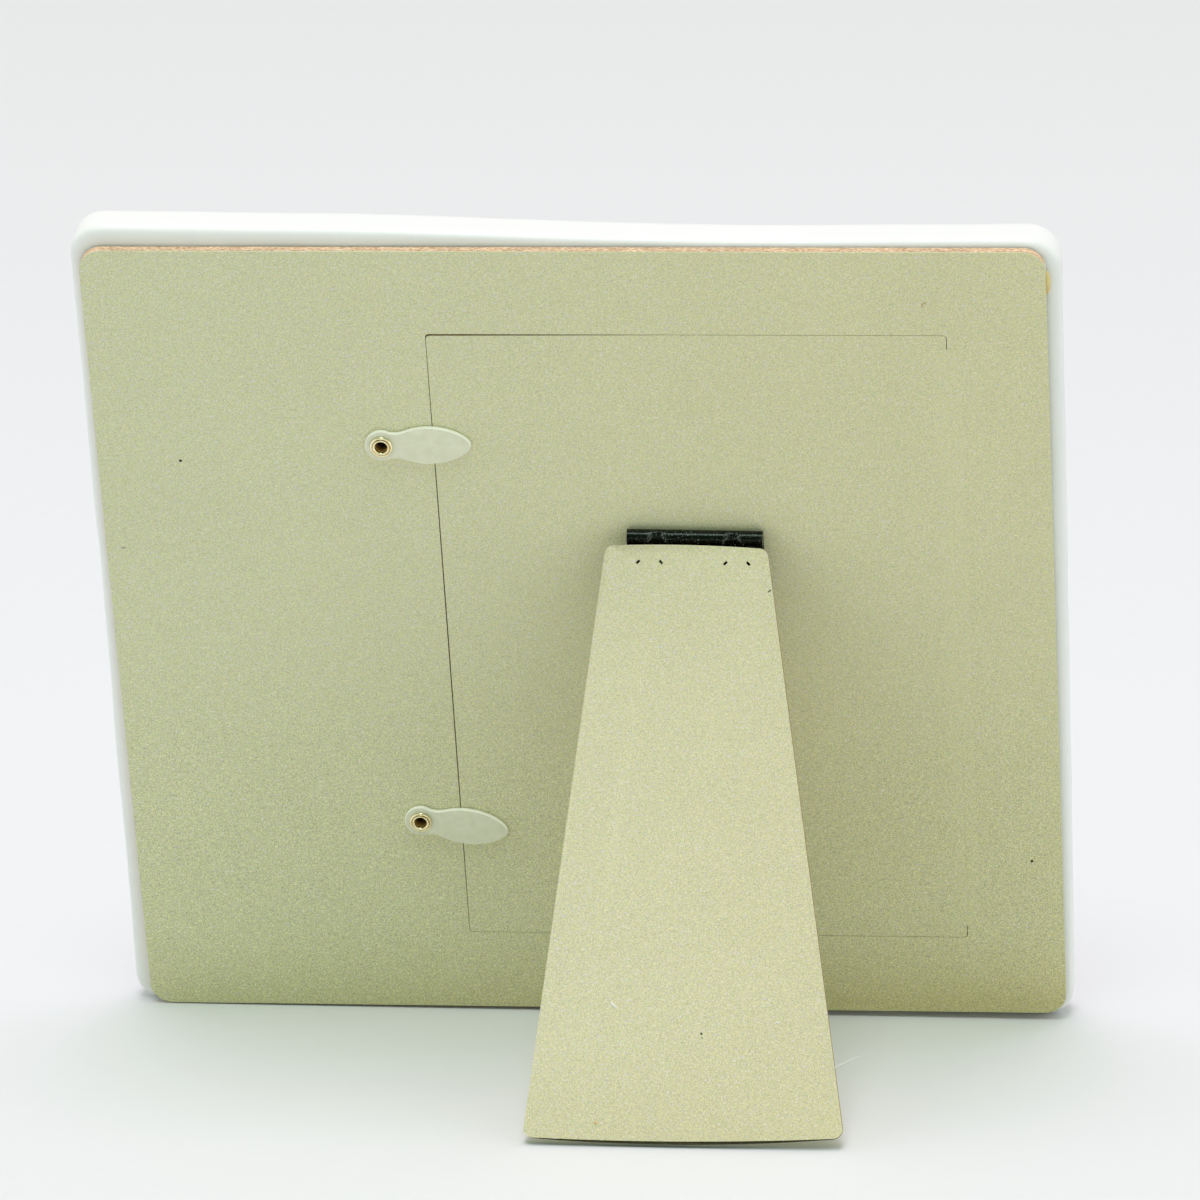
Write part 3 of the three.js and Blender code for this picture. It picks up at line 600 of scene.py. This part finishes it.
top_rise, top_dip, dip_at, dip_reach = 1.4 * MM, 1.3 * MM, 33 * MM, 85 * MM
left_flare, left_bow = 0.2 * MM, 0.4 * MM
bar_foot = window_centre.y + pocket_height / 2
for vert in moulding.data.vertices:
    away = min(abs(vert.co.x - dip_at) / dip_reach, 1)
    lift = top_rise * (0.5 - vert.co.x / moulding_width) - top_dip * cos(away * pi / 2) ** 2
    share = min(max((vert.co.y - bar_foot) / (moulding_height - bar_foot), 0), 1)
    vert.co.y += lift * share * share * (3 - 2 * share)
    outward = min(max(-vert.co.x / half, 0), 1) ** 4
    height = vert.co.y / moulding_height
    vert.co.x += outward * (left_flare * height + left_bow * sin(pi * height))
wander = bpy.data.textures.new("hand_polish", "CLOUDS")
wander.noise_scale = wander_size
wander.noise_depth = 1
modify(moulding, "DISPLACE", texture=wander, texture_coords="LOCAL", strength=wander_depth, mid_level=1.0)
place(moulding, stand)
bpy.ops.object.shade_smooth()

paint = Paint("white_resin", Specular_IOR_Level=0.45, Subsurface_Weight=0.06)
paint.shader.inputs["Subsurface Radius"].default_value = (0.004, 0.0036, 0.003)
paint.shader.inputs["Subsurface Scale"].default_value = 0.5
pore = paint.grain(0.5 * MM, 3)
paint.feed("Base Color", paint.mix(paint.grain(20 * MM, 3), (0.855, 0.85, 0.83), (0.89, 0.885, 0.87)))
paint.feed("Roughness", 0.3 + paint.grain(6 * MM, 3) * 0.2)
paint.bump(pore + paint.grain(3 * MM, 2), 0.05 * MM, 0.25)
paint.coat(moulding)
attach(moulding, "frame")
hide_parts("frame_moulding")
print("moulding:", len(moulding.data.polygons), "faces")

# %% [markdown]
# ## The glue
#
# The back is glued to the casting all round. The film is out of sight, except where a drop was squeezed
# out at the right edge near the top and set there as a soft amber bead. The film is a thin plate with its
# middle cut out. The bead is a ball that is drawn out along the edge, slimmed at its ends and joined on.

# %% The glue
back_width, back_height = 212 * MM, 199.4 * MM
film_inset, film_width, film_low, film_high = 4 * MM, 6 * MM, 0.05 * MM, 0.25 * MM
reach = Vector((back_width / 2 - film_inset, back_height / 2 - film_inset, 0))
glue = block("glue_film_and_bead", -reach + Vector((0, 0, film_low)), reach + Vector((0, 0, film_high)))
reach -= Vector((film_width, film_width, 0))
cut(glue, block("film_cutter", -reach - Vector((0, 0, through)), reach + Vector((0, 0, through))))
bead_middle, bead_reach = Vector((106.2, 91.4, 0.9)) * MM, Vector((0.75, 2.9, 0.85)) * MM
bead_slimming = 0.35
bpy.ops.object.select_all(action="DESELECT")
bpy.ops.mesh.primitive_ico_sphere_add(subdivisions=5, radius=1)
bead = bpy.context.object
for vert in bead.data.vertices:
    x, y, z = vert.co
    slim = 1 - bead_slimming * abs(y) ** 2
    vert.co = bead_middle + Vector((x * slim * bead_reach.x, y * bead_reach.y, z * slim * bead_reach.z))
only(glue)
bead.select_set(True)
bpy.ops.object.join()
place(glue, back_place)
bpy.ops.object.shade_smooth_by_angle(angle=radians(40))
paint = Paint("amber_glue", Roughness=0.45, Subsurface_Weight=0.5, Subsurface_Scale=1 * MM, IOR=1.45)
run = paint.grain(1.6 * MM, 2)
paint.feed("Base Color", paint.mix(run, (0.70, 0.55, 0.21), (0.79, 0.67, 0.32)))
paint.bump(run, 0.3 * MM, 0.4)
paint.coat(glue)
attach(glue, "frame")
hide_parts("glue_line")
print("glue:", len(glue.data.polygons), "faces")

# %% [markdown]
# ## The crease
#
# On its right side the door isn't cut: board and paper are only scored, and the paper is the hinge. What
# shows is a strip a few millimetres wide where the pile stands a little differently, with a shallow groove
# along its middle. A thin strip lies over the gap between the two CAD facings. It tapers to nothing at its
# edges.

# %% The crease
crease_x, crease_length, crease_width = 84.0 * MM, 151.3 * MM, 6 * MM
facing_top, strip_gap = 2.5 * MM, 0.012 * MM
strip_rise, groove_width, groove_depth = 0.07 * MM, 0.9 * MM, 0.05 * MM
bpy.ops.object.select_all(action="DESELECT")
bpy.ops.mesh.primitive_grid_add(x_subdivisions=40, y_subdivisions=120, size=1)
crease = bpy.context.object
crease.name = "crease_strip"
crease.scale = (crease_width, crease_length, 1)
bpy.ops.object.transform_apply(location=True, rotation=True, scale=True)
for vert in crease.data.vertices:
    across = abs(vert.co.x) / (crease_width / 2)
    groove = max(0, 1 - abs(vert.co.x) / (groove_width / 2))
    vert.co.z = facing_top + strip_gap + strip_rise * (1 - across * across) - groove_depth * groove
    vert.co.x += crease_x
place(crease, back_place)
bpy.ops.object.shade_smooth()
velour("pressed_velour", 0.8, 0.98).coat(crease)
across_back = (back_place.to_3x3() @ Vector((-1, 0, 0))).normalized()
fold = Vector(joints["door_crease"]["pos_m"])
tuple(fold + across_back * 2 * MM)
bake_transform(crease)
print("crease strip:", len(crease.data.polygons), "faces")

# %% [markdown]
# ## The hinge tube
#
# The door's half of the easel hinge is a strip of thin black steel. Its lower part is clawed to the door
# and its upper edge is rolled over the pin and the strut's knuckles, and ends in a lip that stops the
# open strut. Two dents pressed into the roll keep the knuckles from sliding sideways. Each dent is a
# narrow fold at the crown and spreads to a wide scoop at the lip.
#
# The strip is a fine grid. Its upper edge is spun round the pin's axis for the roll, the dents are vertex
# moves towards the axis, and a solidify gives the sheet its thickness. A value on each point says how much
# painted glint it gets, which is most along the edges of the dents.

# %% The hinge tube
hinge_length, leaf_length, sheet = 30.2 * MM, 14.5 * MM, 0.5 * MM
roll_inside, weld, tiny = 1.25 * MM, 0.001 * MM, 0.01 * MM
roll_middle = roll_inside + sheet / 2
neck_angle, stop_gap = 11.54, 1.5
lip_angle = radians(strut_opening - 90 + neck_angle + stop_gap)
crown_angle = radians(88)
dent_spacing, dent_depth, dent_shape, dent_onset = 16.8 * MM, 0.6 * MM, 1.3, 2.2
dent_crown, dent_lip = 1.0 * MM, 2.75 * MM
glint_width, glint_line, glint_onset = 0.55 * MM, 0.9, 3
claw_side, claw_drop, claw_radius = 9.7 * MM, 8 * MM, 2.2 * MM

bpy.ops.object.select_all(action="DESELECT")
bpy.ops.mesh.primitive_grid_add(x_subdivisions=150, y_subdivisions=20, size=1)
tube = bpy.context.object
tube.name = "hinge_tube"
tube.scale = (hinge_length, leaf_length, 1)
tube.location = (0, -leaf_length / 2, -roll_middle)
bpy.ops.object.transform_apply(location=True, rotation=True, scale=True)
bpy.ops.object.mode_set(mode="EDIT")
choose("EDGE", lambda edge: all(abs(vert.co.y) < tiny for vert in edge.verts))
bpy.ops.mesh.spin(steps=44, angle=pi - lip_angle, center=(0, 0, 0), axis=(-1, 0, 0))
bpy.ops.mesh.select_all(action="SELECT")
bpy.ops.mesh.remove_doubles(threshold=weld)
bpy.ops.mesh.normals_make_consistent(inside=False)
bpy.ops.object.mode_set(mode="OBJECT")

# Painted glints: a value that is highest along the edges of the dents, towards the lip.
dent_glint_share = tube.data.attributes.new("dent_glint_share", "FLOAT", "POINT").data
for vert, edge_glint in zip(tube.data.vertices, dent_glint_share):
    turn = math.atan2(vert.co.y, vert.co.z)
    on_roll = vert.co.y > 0 or vert.co.z > 0
    along = abs(vert.co.x) - dent_spacing / 2
    toward_lip = min(max((crown_angle - turn) / (crown_angle - lip_angle), 0), 1) if on_roll else 0
    half_dent = dent_crown + (dent_lip - dent_crown) * toward_lip
    depth = dent_depth * min(1, toward_lip * dent_onset) * max(0, 1 - abs(along / half_dent) ** dent_shape)
    reach = math.hypot(vert.co.y, vert.co.z)
    on_edge = max(0, 1 - abs(abs(along) - half_dent * glint_line) / glint_width)
    edge_glint.value = on_edge * min(1, toward_lip * glint_onset)
    if on_roll and depth > 0:
        vert.co.y *= (reach - depth) / reach
        vert.co.z *= (reach - depth) / reach
modify(tube, "SOLIDIFY", thickness=sheet * 0.98, offset=0)
for side in (-1, 1):
    spot = (side * claw_side, -claw_drop, -roll_middle)
    bpy.ops.object.select_all(action="DESELECT")
    bpy.ops.mesh.primitive_cylinder_add(vertices=4, radius=claw_radius, depth=3 * MM, location=spot)
    cut(tube, bpy.context.object)
place(tube, hinge_place)
bpy.ops.object.shade_smooth_by_angle(angle=radians(50))
print("hinge tube:", len(tube.data.polygons), "faces")

# %% [markdown]
# ## Enamel and wire
#
# The enamel is deep black and glossy, with the fine unevenness that dipped paint has. Small light grey
# specks are spread all over it as painted glints, and along the dents' edges more painted glints lie in
# patches. The strut's leaf has the same enamel. The pin is drawn steel wire with lines along its length.

# %% Enamel and wire
paint = Paint("black_enamel", Specular_IOR_Level=0.2, Specular_Tint=(0.82, 1.0, 0.82))
orange_peel = paint.grain(0.6 * MM, 3)
# Painted glints: small light grey specks all over the enamel.
speck_glints = paint.rise(paint.grain(0.26 * MM, 2), 0.67, 0.71)
# Painted glints along the dents' edges, broken into patches.
dent_glints = paint.node("ShaderNodeAttribute", {"attribute_name": "dent_glint_share"}, {}, "Fac")
dent_glints = dent_glints * paint.rise(paint.grain(0.45 * MM, 3), 0.4, 0.62)
glints = paint.maths("MAXIMUM", speck_glints, dent_glints * 0.45)
paint.feed("Base Color", paint.mix(glints, (0.0015, 0.002, 0.0015), (0.42, 0.44, 0.41)))
paint.feed("Roughness", 0.04 + paint.grain(1.2 * MM, 3) * 0.1)
paint.bump(orange_peel, 0.06 * MM, 0.8)
paint.coat(tube, nodes["hinge_strut_leaf"])
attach(tube, "door")
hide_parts("hinge_door_leaf")

paint = Paint("drawn_wire", Metallic=1.0)
draw_line = paint.grain(0.2 * MM, 2, at=paint.turned((0, 0, 0), (0.02, 1, 1)))
paint.feed("Base Color", paint.mix(draw_line, (0.30, 0.31, 0.32), (0.45, 0.46, 0.47)))
paint.feed("Roughness", 0.25 + draw_line * 0.25)
paint.coat(nodes["hinge_pin"])
print("enamel on the hinge leaves, steel on the pin")

# %% [markdown]
# ## The strut
#
# The strut is a board with paper on both faces. It was stamped out with round corners and with a foot that
# bows, so that it rests on its middle. Its three layers are in the frame already, with the slots that the
# hinge's claws go through, so each layer is copied instead of drawn again. A wedge with rounder corners and
# a deeper bow is made for it, and only what lies inside the wedge is kept of the copy. The paper is cut off
# a little higher than the board, so the board's edge, which is painted near black as shade, shows below it
# as a dark line.

# %% The strut
strut_offset, strut_skew = -1.65 * MM, 1.15
foot_at, foot_half, strut_taper = -134.56 * MM, 35.75 * MM, 0.1343
foot_round, foot_reach = 2.6 * MM, 20 * MM
wedge_top, wedge_back, wedge_front = 6 * MM, -4 * MM, 8 * MM
strut_place = hinge_place @ Matrix.Rotation(radians(-strut_opening), 4, "X")
skewed = turned_at((strut_offset, 0, 0), strut_skew)


def same_side(edge):
    """Whether an edge stays on one side of the strut's middle."""
    return edge.verts[0].co.x * edge.verts[1].co.x > 0


def strut_wedge(foot_lift, foot_bow):
    """A wedge as wide as the strut, with round corners and a bowed lower edge."""
    foot = foot_at + foot_lift
    wedge = block("strut_wedge", (-foot_half, foot, wedge_back), (foot_half, wedge_top, wedge_front))
    bpy.ops.object.mode_set(mode="EDIT")
    choose("VERT", lambda vert: vert.co.y > 0)
    narrow = 1 - strut_taper * (wedge_top - foot_at) / foot_half
    bpy.ops.transform.resize(value=(narrow, 1, 1), center_override=(0, wedge_top, 0))
    choose("EDGE", lambda edge: same_side(edge) and all(vert.co.y < 0 for vert in edge.verts))
    bpy.ops.mesh.bevel(offset=foot_round, segments=10, affect="EDGES")
    choose("EDGE", lambda edge: not same_side(edge) and edge.verts[0].co.y < 0)
    bpy.ops.mesh.subdivide(number_cuts=31)
    bpy.ops.object.mode_set(mode="OBJECT")
    for vert in wedge.data.vertices:
        if vert.co.y < foot_at + foot_reach:
            rise = foot_bow * (vert.co.x / foot_half) ** 2
            vert.co.y += rise
            vert.co.x *= 1 - strut_taper * rise / foot_half
    place(wedge, strut_place @ skewed)
    return wedge


paper_wedge = {"foot_lift": 0.92 * MM, "foot_bow": 0.85 * MM}
board_wedge = {"foot_lift": 0.25 * MM, "foot_bow": 1.5 * MM}
layers = {
    "strut_velour": ("strut_facing", strut_facing, "velour_paper", paper_wedge),
    "strut_board": ("strut_core", strut_board, "hardboard", board_wedge),
    "strut_backing": ("strut_lining", lining, "lining_paper", board_wedge),
}
for name, (node, paint, slot, foot_shape) in layers.items():
    wedge = strut_wedge(**foot_shape)
    piece = bpy.data.objects.new(name, nodes[node].data.copy())
    bpy.context.collection.objects.link(piece)
    only(piece)
    bpy.ops.object.mode_set(mode="EDIT")
    bpy.ops.mesh.select_all(action="SELECT")
    bpy.ops.mesh.remove_doubles(threshold=weld)
    bpy.ops.object.mode_set(mode="OBJECT")
    modify(piece, "BOOLEAN", object=wedge, operation="INTERSECT", solver="EXACT")
    bpy.data.objects.remove(wedge)
    bpy.ops.object.shade_smooth_by_angle(angle=radians(30))
    paint.coat(piece)
    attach(piece, "strut")
    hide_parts(node)
    print(f"{name}: {len(piece.data.polygons)} faces")

# %% [markdown]
# ## The turn tabs
#
# Each tab is a small leaf of milky plastic, stamped with a round head, a waist and a pointed belly.
#
# One outline is drawn as a curve through the head, the waist, the belly and the tip, made a mesh, filled
# and raised, and its upper rim is bevelled round. A hole for the eyelet is cut through the head.

# %% The turn tabs
tab_head, tab_waist, tab_waist_at = 3.75 * MM, 3.1 * MM, 3.5 * MM
tab_belly, tab_belly_at, tab_reach = 4.6 * MM, 10.5 * MM, 20 * MM
tab_nose, tab_tip = 5.2 * MM, 1.8 * MM
tab_thickness, tab_rim, tab_under_rim = 1 * MM, 0.26 * MM, 0.12 * MM
tab_head_turn, close_points = radians(60), 0.2 * MM
barrel, barrel_gap = 1.7 * MM, 0.12 * MM


def tab_outline():
    """The closed curve round a tab, as points with the handles before and after each."""
    head = Vector((cos(tab_head_turn), sin(tab_head_turn))) * tab_head
    pull = tab_head * math.tan((pi - tab_head_turn) / 4) * 4 / 3
    after_head = head + Vector((-sin(tab_head_turn), cos(tab_head_turn))) * pull
    belly, waist = Vector((tab_belly_at, tab_belly)), Vector((tab_waist_at, tab_waist))
    swell = (tab_belly_at - tab_waist_at) / 2
    upper = [
        (belly + Vector((tab_nose, 0)), belly, belly - Vector((swell, 0))),
        (waist.lerp(belly, 1 / 3), waist, waist.lerp(head, 1 / 3)),
        (waist.lerp(head, 2 / 3), head, after_head),
    ]
    lower = [tuple(Vector((point.x, -point.y)) for point in reversed(knot)) for knot in reversed(upper)]
    tip = tuple(Vector((tab_reach, height)) for height in (-tab_tip, 0, tab_tip))
    heel = tuple(Vector((-tab_head, height)) for height in (pull, 0, -pull))
    return [tip, *upper, heel, *lower]


bpy.ops.object.select_all(action="DESELECT")
bpy.ops.curve.primitive_bezier_circle_add(radius=1)
tab = bpy.context.object
tab.name = "upper_leaf_tab"
tab.data.resolution_u = 14
tab.data.fill_mode = "FULL"
spline = tab.data.splines[0]
knots = tab_outline()
spline.bezier_points.add(len(knots) - len(spline.bezier_points))
for point, (before, on, after) in zip(spline.bezier_points, knots):
    point.handle_left_type = point.handle_right_type = "FREE"
    point.co, point.handle_left, point.handle_right = on.to_3d(), before.to_3d(), after.to_3d()
only(tab)
bpy.ops.object.convert(target="MESH")
bpy.ops.object.mode_set(mode="EDIT")
bpy.ops.mesh.select_all(action="SELECT")
bpy.ops.mesh.remove_doubles(threshold=close_points)
bpy.ops.mesh.edge_face_add()
bpy.ops.mesh.extrude_region_move(TRANSFORM_OT_translate={"value": (0, 0, tab_thickness)})
bpy.ops.mesh.select_all(action="SELECT")
bpy.ops.mesh.normals_make_consistent(inside=False)
choose("EDGE", at_height(tab_thickness))
bpy.ops.mesh.bevel(offset=tab_rim, segments=5, affect="EDGES")
choose("EDGE", at_height(0))
bpy.ops.mesh.bevel(offset=tab_under_rim, segments=2, affect="EDGES")
bpy.ops.object.mode_set(mode="OBJECT")
bpy.ops.object.select_all(action="DESELECT")
bpy.ops.mesh.primitive_cylinder_add(vertices=64, radius=barrel + barrel_gap, depth=5 * MM)
cut(tab, bpy.context.object)
print("tab:", len(tab.data.polygons), "faces")

# %% [markdown]
# ## Milky plastic
#
# Light goes through the plastic, so the slit below shows faintly. The rolled rim's thin bright line is
# painted: the rim's faces get an opaque, paler finish of their own as a painted highlight. The second tab is
# a copy, and each is placed at its own eyelet with its own tilt.

# %% Milky plastic
tab_base, upper_tilt, lower_tilt = 2.65 * MM, 0.6, -7.9
flat_enough = 0.9
only(tab)
bpy.ops.object.duplicate(linked=False)
lower_tab = bpy.context.object
lower_tab.name = "lower_leaf_tab"
tabs = {"upper": (tab, upper_tilt), "lower": (lower_tab, lower_tilt)}
paint = Paint("milky_plastic", IOR=1.46)
flow = paint.grain(2.5 * MM, 3)
paint.feed("Base Color", paint.mix(flow, (0.93, 0.915, 0.68), (0.97, 0.95, 0.76)))
paint.feed("Alpha", 0.66 + flow * 0.16)
paint.feed("Roughness", 0.2 + paint.grain(1.5 * MM, 3) * 0.2)
paint.bump(paint.grain(0.5 * MM, 2), 0.02 * MM, 0.3)
# The rim's faces get this opaque, paler finish as a painted highlight.
rim = Paint("painted_rim_highlight", Roughness=0.2, IOR=1.46)
rim.feed("Base Color", rim.mix(rim.grain(1.5 * MM, 2), (0.90, 0.89, 0.75), (0.95, 0.94, 0.82)))
for side, (piece, tilt) in tabs.items():
    edge_faces = [abs(face.normal.z) < flat_enough for face in piece.data.polygons]
    place(piece, back_place @ turned_at((pivots[side].x, pivots[side].y, tab_base), tilt))
    bpy.ops.object.shade_smooth_by_angle(angle=radians(35))
    paint.coat(piece)
    piece.data.materials.append(rim.material)
    piece.data.polygons.foreach_set("material_index", edge_faces)
    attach(piece, f"{side}_tab")
    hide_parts(f"{side}_turn_tab")
print("two tabs placed on their eyelets")

# %% [markdown]
# ## The eyelets
#
# Each tab turns on a brass eyelet: a drawn tube whose upper end is rolled out into two beads with a groove
# between them, and whose lower end is clinched under the board. An open tube is drawn out ring by ring at
# both ends along the line of the roll, thickened, and smoothed by a subdivision. A value on each point says
# how much shade is painted there: in the groove, and in the bore more the deeper it goes.

# %% The eyelets
wall, tube_line, tube_low, tube_high = 0.32 * MM, 1.52 * MM, 0.4 * MM, 3.5 * MM
groove_line, groove_reach = 1.98 * MM, 0.2 * MM
bore_mouth, bore_fade, bore_curve = 3.8 * MM, 2.4 * MM, 0.6


def arc(centre, radius, start, end, steps):
    """Points round an arc, each as a distance from the axis and a height."""
    turns = [radians(start + (end - start) * step / steps) for step in range(steps + 1)]
    return [(centre[0] + radius * cos(turn), centre[1] + radius * sin(turn)) for turn in turns]


inner_bead = arc((1.74 * MM, 4.06 * MM), 0.23 * MM, 170, -10, 5)
outer_bead = arc((2.23 * MM, 3.93 * MM), 0.2 * MM, 160, 0, 4)
clinch = arc((1.85 * MM, 0.1 * MM), 0.31 * MM, 180, 330, 4)
bpy.ops.object.select_all(action="DESELECT")
bpy.ops.mesh.primitive_cylinder_add(
    vertices=40,
    radius=tube_line,
    depth=tube_high - tube_low,
    end_fill_type="NOTHING",
    location=(0, 0, (tube_low + tube_high) / 2),
)
eyelet = bpy.context.object
eyelet.name = "upper_rolled_eyelet"
bpy.ops.object.transform_apply(location=True, rotation=True, scale=True)
bpy.ops.object.mode_set(mode="EDIT")
for height, roll in ((tube_high, inner_bead + outer_bead), (tube_low, clinch)):
    radius = tube_line
    choose("EDGE", at_height(height))
    for next_radius, next_height in roll:
        grow = next_radius / radius
        bpy.ops.mesh.extrude_region_move(TRANSFORM_OT_translate={"value": (0, 0, next_height - height)})
        bpy.ops.transform.resize(value=(grow, grow, 1), center_override=(0, 0, next_height))
        radius, height = next_radius, next_height
bpy.ops.mesh.select_all(action="SELECT")
bpy.ops.mesh.normals_make_consistent(inside=False)
bpy.ops.object.mode_set(mode="OBJECT")
modify(eyelet, "SOLIDIFY", thickness=wall, offset=0)
modify(eyelet, "SUBSURF", levels=2, render_levels=2)
# Painted shade: darker in the groove, and in the bore more the deeper it goes.
painted_shade = eyelet.data.attributes.new("painted_shade", "FLOAT", "POINT").data
for vert, shade_amount in zip(eyelet.data.vertices, painted_shade):
    radius = math.hypot(*vert.co.xy)
    groove = max(0, 1 - abs(radius - groove_line) / groove_reach) if vert.co.z > tube_high else 0
    shade_amount.value = max(groove, min(max((bore_mouth - vert.co.z) / bore_fade, 0), 1) ** bore_curve)
print("eyelet:", len(eyelet.data.polygons), "faces")

# %% [markdown]
# ## Brass
#
# The beads are bright and only a little tarnished, and the groove between them is painted darker as shade.
# The bore has a duller finish, warm orange near its mouth and painted dark further down as shade. The second
# eyelet is a copy.

# %% Brass
only(eyelet)
bpy.ops.object.duplicate(linked=False)
lower_eyelet = bpy.context.object
lower_eyelet.name = "lower_rolled_eyelet"

paint = Paint("eyelet_brass", Metallic=1.0)
tarnish = paint.grain(0.8 * MM, 4)
shade_amount = paint.node("ShaderNodeAttribute", {"attribute_name": "painted_shade"}, {}, "Fac")
gold = paint.mix(paint.rise(tarnish, 0.35, 0.75), (1.0, 0.93, 0.62), (0.86, 0.68, 0.30))
# The groove is painted darker as shade.
paint.feed("Base Color", paint.mix(shade_amount, gold, (0.24, 0.13, 0.03)))
paint.feed("Roughness", 0.08 + tarnish * 0.15)
paint.bump(paint.grain(0.3 * MM, 2), 0.02 * MM, 0.25)
inside = Paint("brass_bore", Metallic=0.2, Roughness=0.5)
deep = inside.node("ShaderNodeAttribute", {"attribute_name": "painted_shade"}, {}, "Fac")
warm = inside.mix(inside.grain(0.6 * MM, 3), (0.95, 0.52, 0.10), (1.0, 0.70, 0.25))
# Deeper in the bore the colour is painted near black as shade.
inside.feed("Base Color", inside.mix(deep, warm, (0.09, 0.04, 0.008)))
for side, piece in (("upper", eyelet), ("lower", lower_eyelet)):
    centres = [face.center for face in piece.data.polygons]
    bore = [math.hypot(*centre.xy) < tube_line and centre.z < bore_mouth for centre in centres]
    place(piece, back_place @ Matrix.Translation((pivots[side].x, pivots[side].y, 0)))
    bpy.ops.object.shade_smooth()
    paint.coat(piece)
    piece.data.materials.append(inside.material)
    piece.data.polygons.foreach_set("material_index", bore)
    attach(piece, "frame")
    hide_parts(f"{side}_eyelet")
print("two eyelets set in the back")

# %% [markdown]
# ## Lint
#
# A flocked back picks up lint and crumbs. A few are plain to see in the photograph: a reddish curl, a pale
# fibre and dark crumbs on the back, and white scraps, more crumbs and one long hair at the right edge of
# the strut. A fibre is a curve with round section that thins at its ends. A crumb is a ball that is
# flattened and pushed out of round, made once and copied.

# %% Lint
back_top, strut_top, fibre_end, lint_shade = 2.55, 3.0, 0.45, 0.8
surfaces = {"frame": (back_place, back_top), "strut": (strut_place, strut_top)}


def lint_paint(name, colour):
    """A dry finish that goes from a colour to a darker tone of it."""
    paint = Paint(name, Roughness=0.7, Specular_IOR_Level=0.3)
    shaded = tuple(part * lint_shade for part in colour)
    paint.feed("Base Color", paint.mix(paint.grain(0.1 * MM, 2), colour, shaded))
    return paint


def fibre(name, body, thickness, paint, points):
    """A thin fibre through points that are given in millimetres on the back or on the strut."""
    bpy.ops.object.select_all(action="DESELECT")
    bpy.ops.curve.primitive_bezier_curve_add()
    hair = bpy.context.object
    hair.name = name
    knots = hair.data.splines[0].bezier_points
    knots.add(len(points) - len(knots))
    surface, top = surfaces[body]
    for knot, (x, y) in zip(knots, points):
        knot.handle_left_type = knot.handle_right_type = "AUTO"
        knot.co = Vector((x, y, top)) * MM
    knots[0].radius = knots[-1].radius = fibre_end
    hair.data.bevel_depth = thickness / 2 * MM
    hair.data.bevel_resolution = 2
    hair.data.use_fill_caps = True
    only(hair)
    bpy.ops.object.convert(target="MESH")
    place(hair, surface)
    bpy.ops.object.shade_smooth()
    paint.coat(hair)
    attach(hair, body)


white, cream = lint_paint("white_lint", (0.92, 0.92, 0.9)), lint_paint("cream_lint", (0.82, 0.80, 0.66))
rust, dark = lint_paint("rust_lint", (0.46, 0.22, 0.12)), lint_paint("dark_lint", (0.02, 0.016, 0.008))
curl_line = [(79.2, 86.1), (78.9, 86.5), (79.2, 87.0), (79.6, 87.3), (79.95, 87.1)]
hair_line = [(32.2, -117.4), (34.4, -116.4), (36.4, -115.4), (38.6, -114.3), (40.4, -113.8)]
fibres = [
    ("pale_fibre", "frame", 0.2, cream, [(89.7, 92.6), (89.6, 91.9), (89.4, 91.2)]),
    ("rust_curl", "frame", 0.12, rust, curl_line),
    ("dark_dash", "frame", 0.14, dark, [(-102.7, 23.6), (-102.2, 23.75), (-101.7, 23.7)]),
    ("white_scrap", "strut", 0.52, white, [(-15.6, -103.4), (-15.0, -104.0), (-14.3, -104.7)]),
    ("white_wisp", "strut", 0.35, white, [(20.9, -106.8), (21.4, -107.1), (21.8, -107.1)]),
    ("dark_wisp", "strut", 0.25, dark, [(16.7, -12.1), (17.1, -11.9), (17.4, -11.5)]),
    ("long_hair", "strut", 0.12, white, hair_line),
]
for strand in fibres:
    fibre(*strand)

bpy.ops.object.select_all(action="DESELECT")
bpy.ops.mesh.primitive_ico_sphere_add(subdivisions=3, radius=1)
crumb = bpy.context.object
lump_height, crumb_height = 0.3, 0.5
for vert in crumb.data.vertices:
    vert.co *= 1 + lump_height * sin(3 * vert.co.x + 1) * cos(4 * vert.co.y)
    vert.co.z *= crumb_height
amber = lint_paint("amber_crumb", (0.80, 0.52, 0.25))
crumbs = [
    ("bark_crumb", "frame", dark, (-87.4, 46.45), 0.32),
    ("pale_crumb", "frame", cream, (-87.9, 46.4), 0.28),
    ("coal_crumb", "frame", dark, (99.2, -58.0), 0.32),
    ("dust_crumb", "frame", dark, (99.9, -57.2), 0.1),
    ("seed_crumb", "strut", dark, (4.6, -109.85), 0.24),
    ("fine_crumb", "strut", dark, (4.8, -110.8), 0.12),
    ("amber_crumb", "strut", amber, (-18.2, -130.0), 0.35),
]
for name, body, paint, (x, y), size in crumbs:
    surface, top = surfaces[body]
    only(crumb)
    bpy.ops.object.duplicate(linked=False)
    piece = bpy.context.object
    piece.name = name
    place(piece, surface @ Matrix.Translation(Vector((x, y, top)) * MM) @ Matrix.Scale(size * MM, 4))
    bpy.ops.object.shade_smooth()
    paint.coat(piece)
    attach(piece, body)
bpy.data.objects.remove(crumb)
print("lint:", len(fibres), "fibres and", len(crumbs), "crumbs")
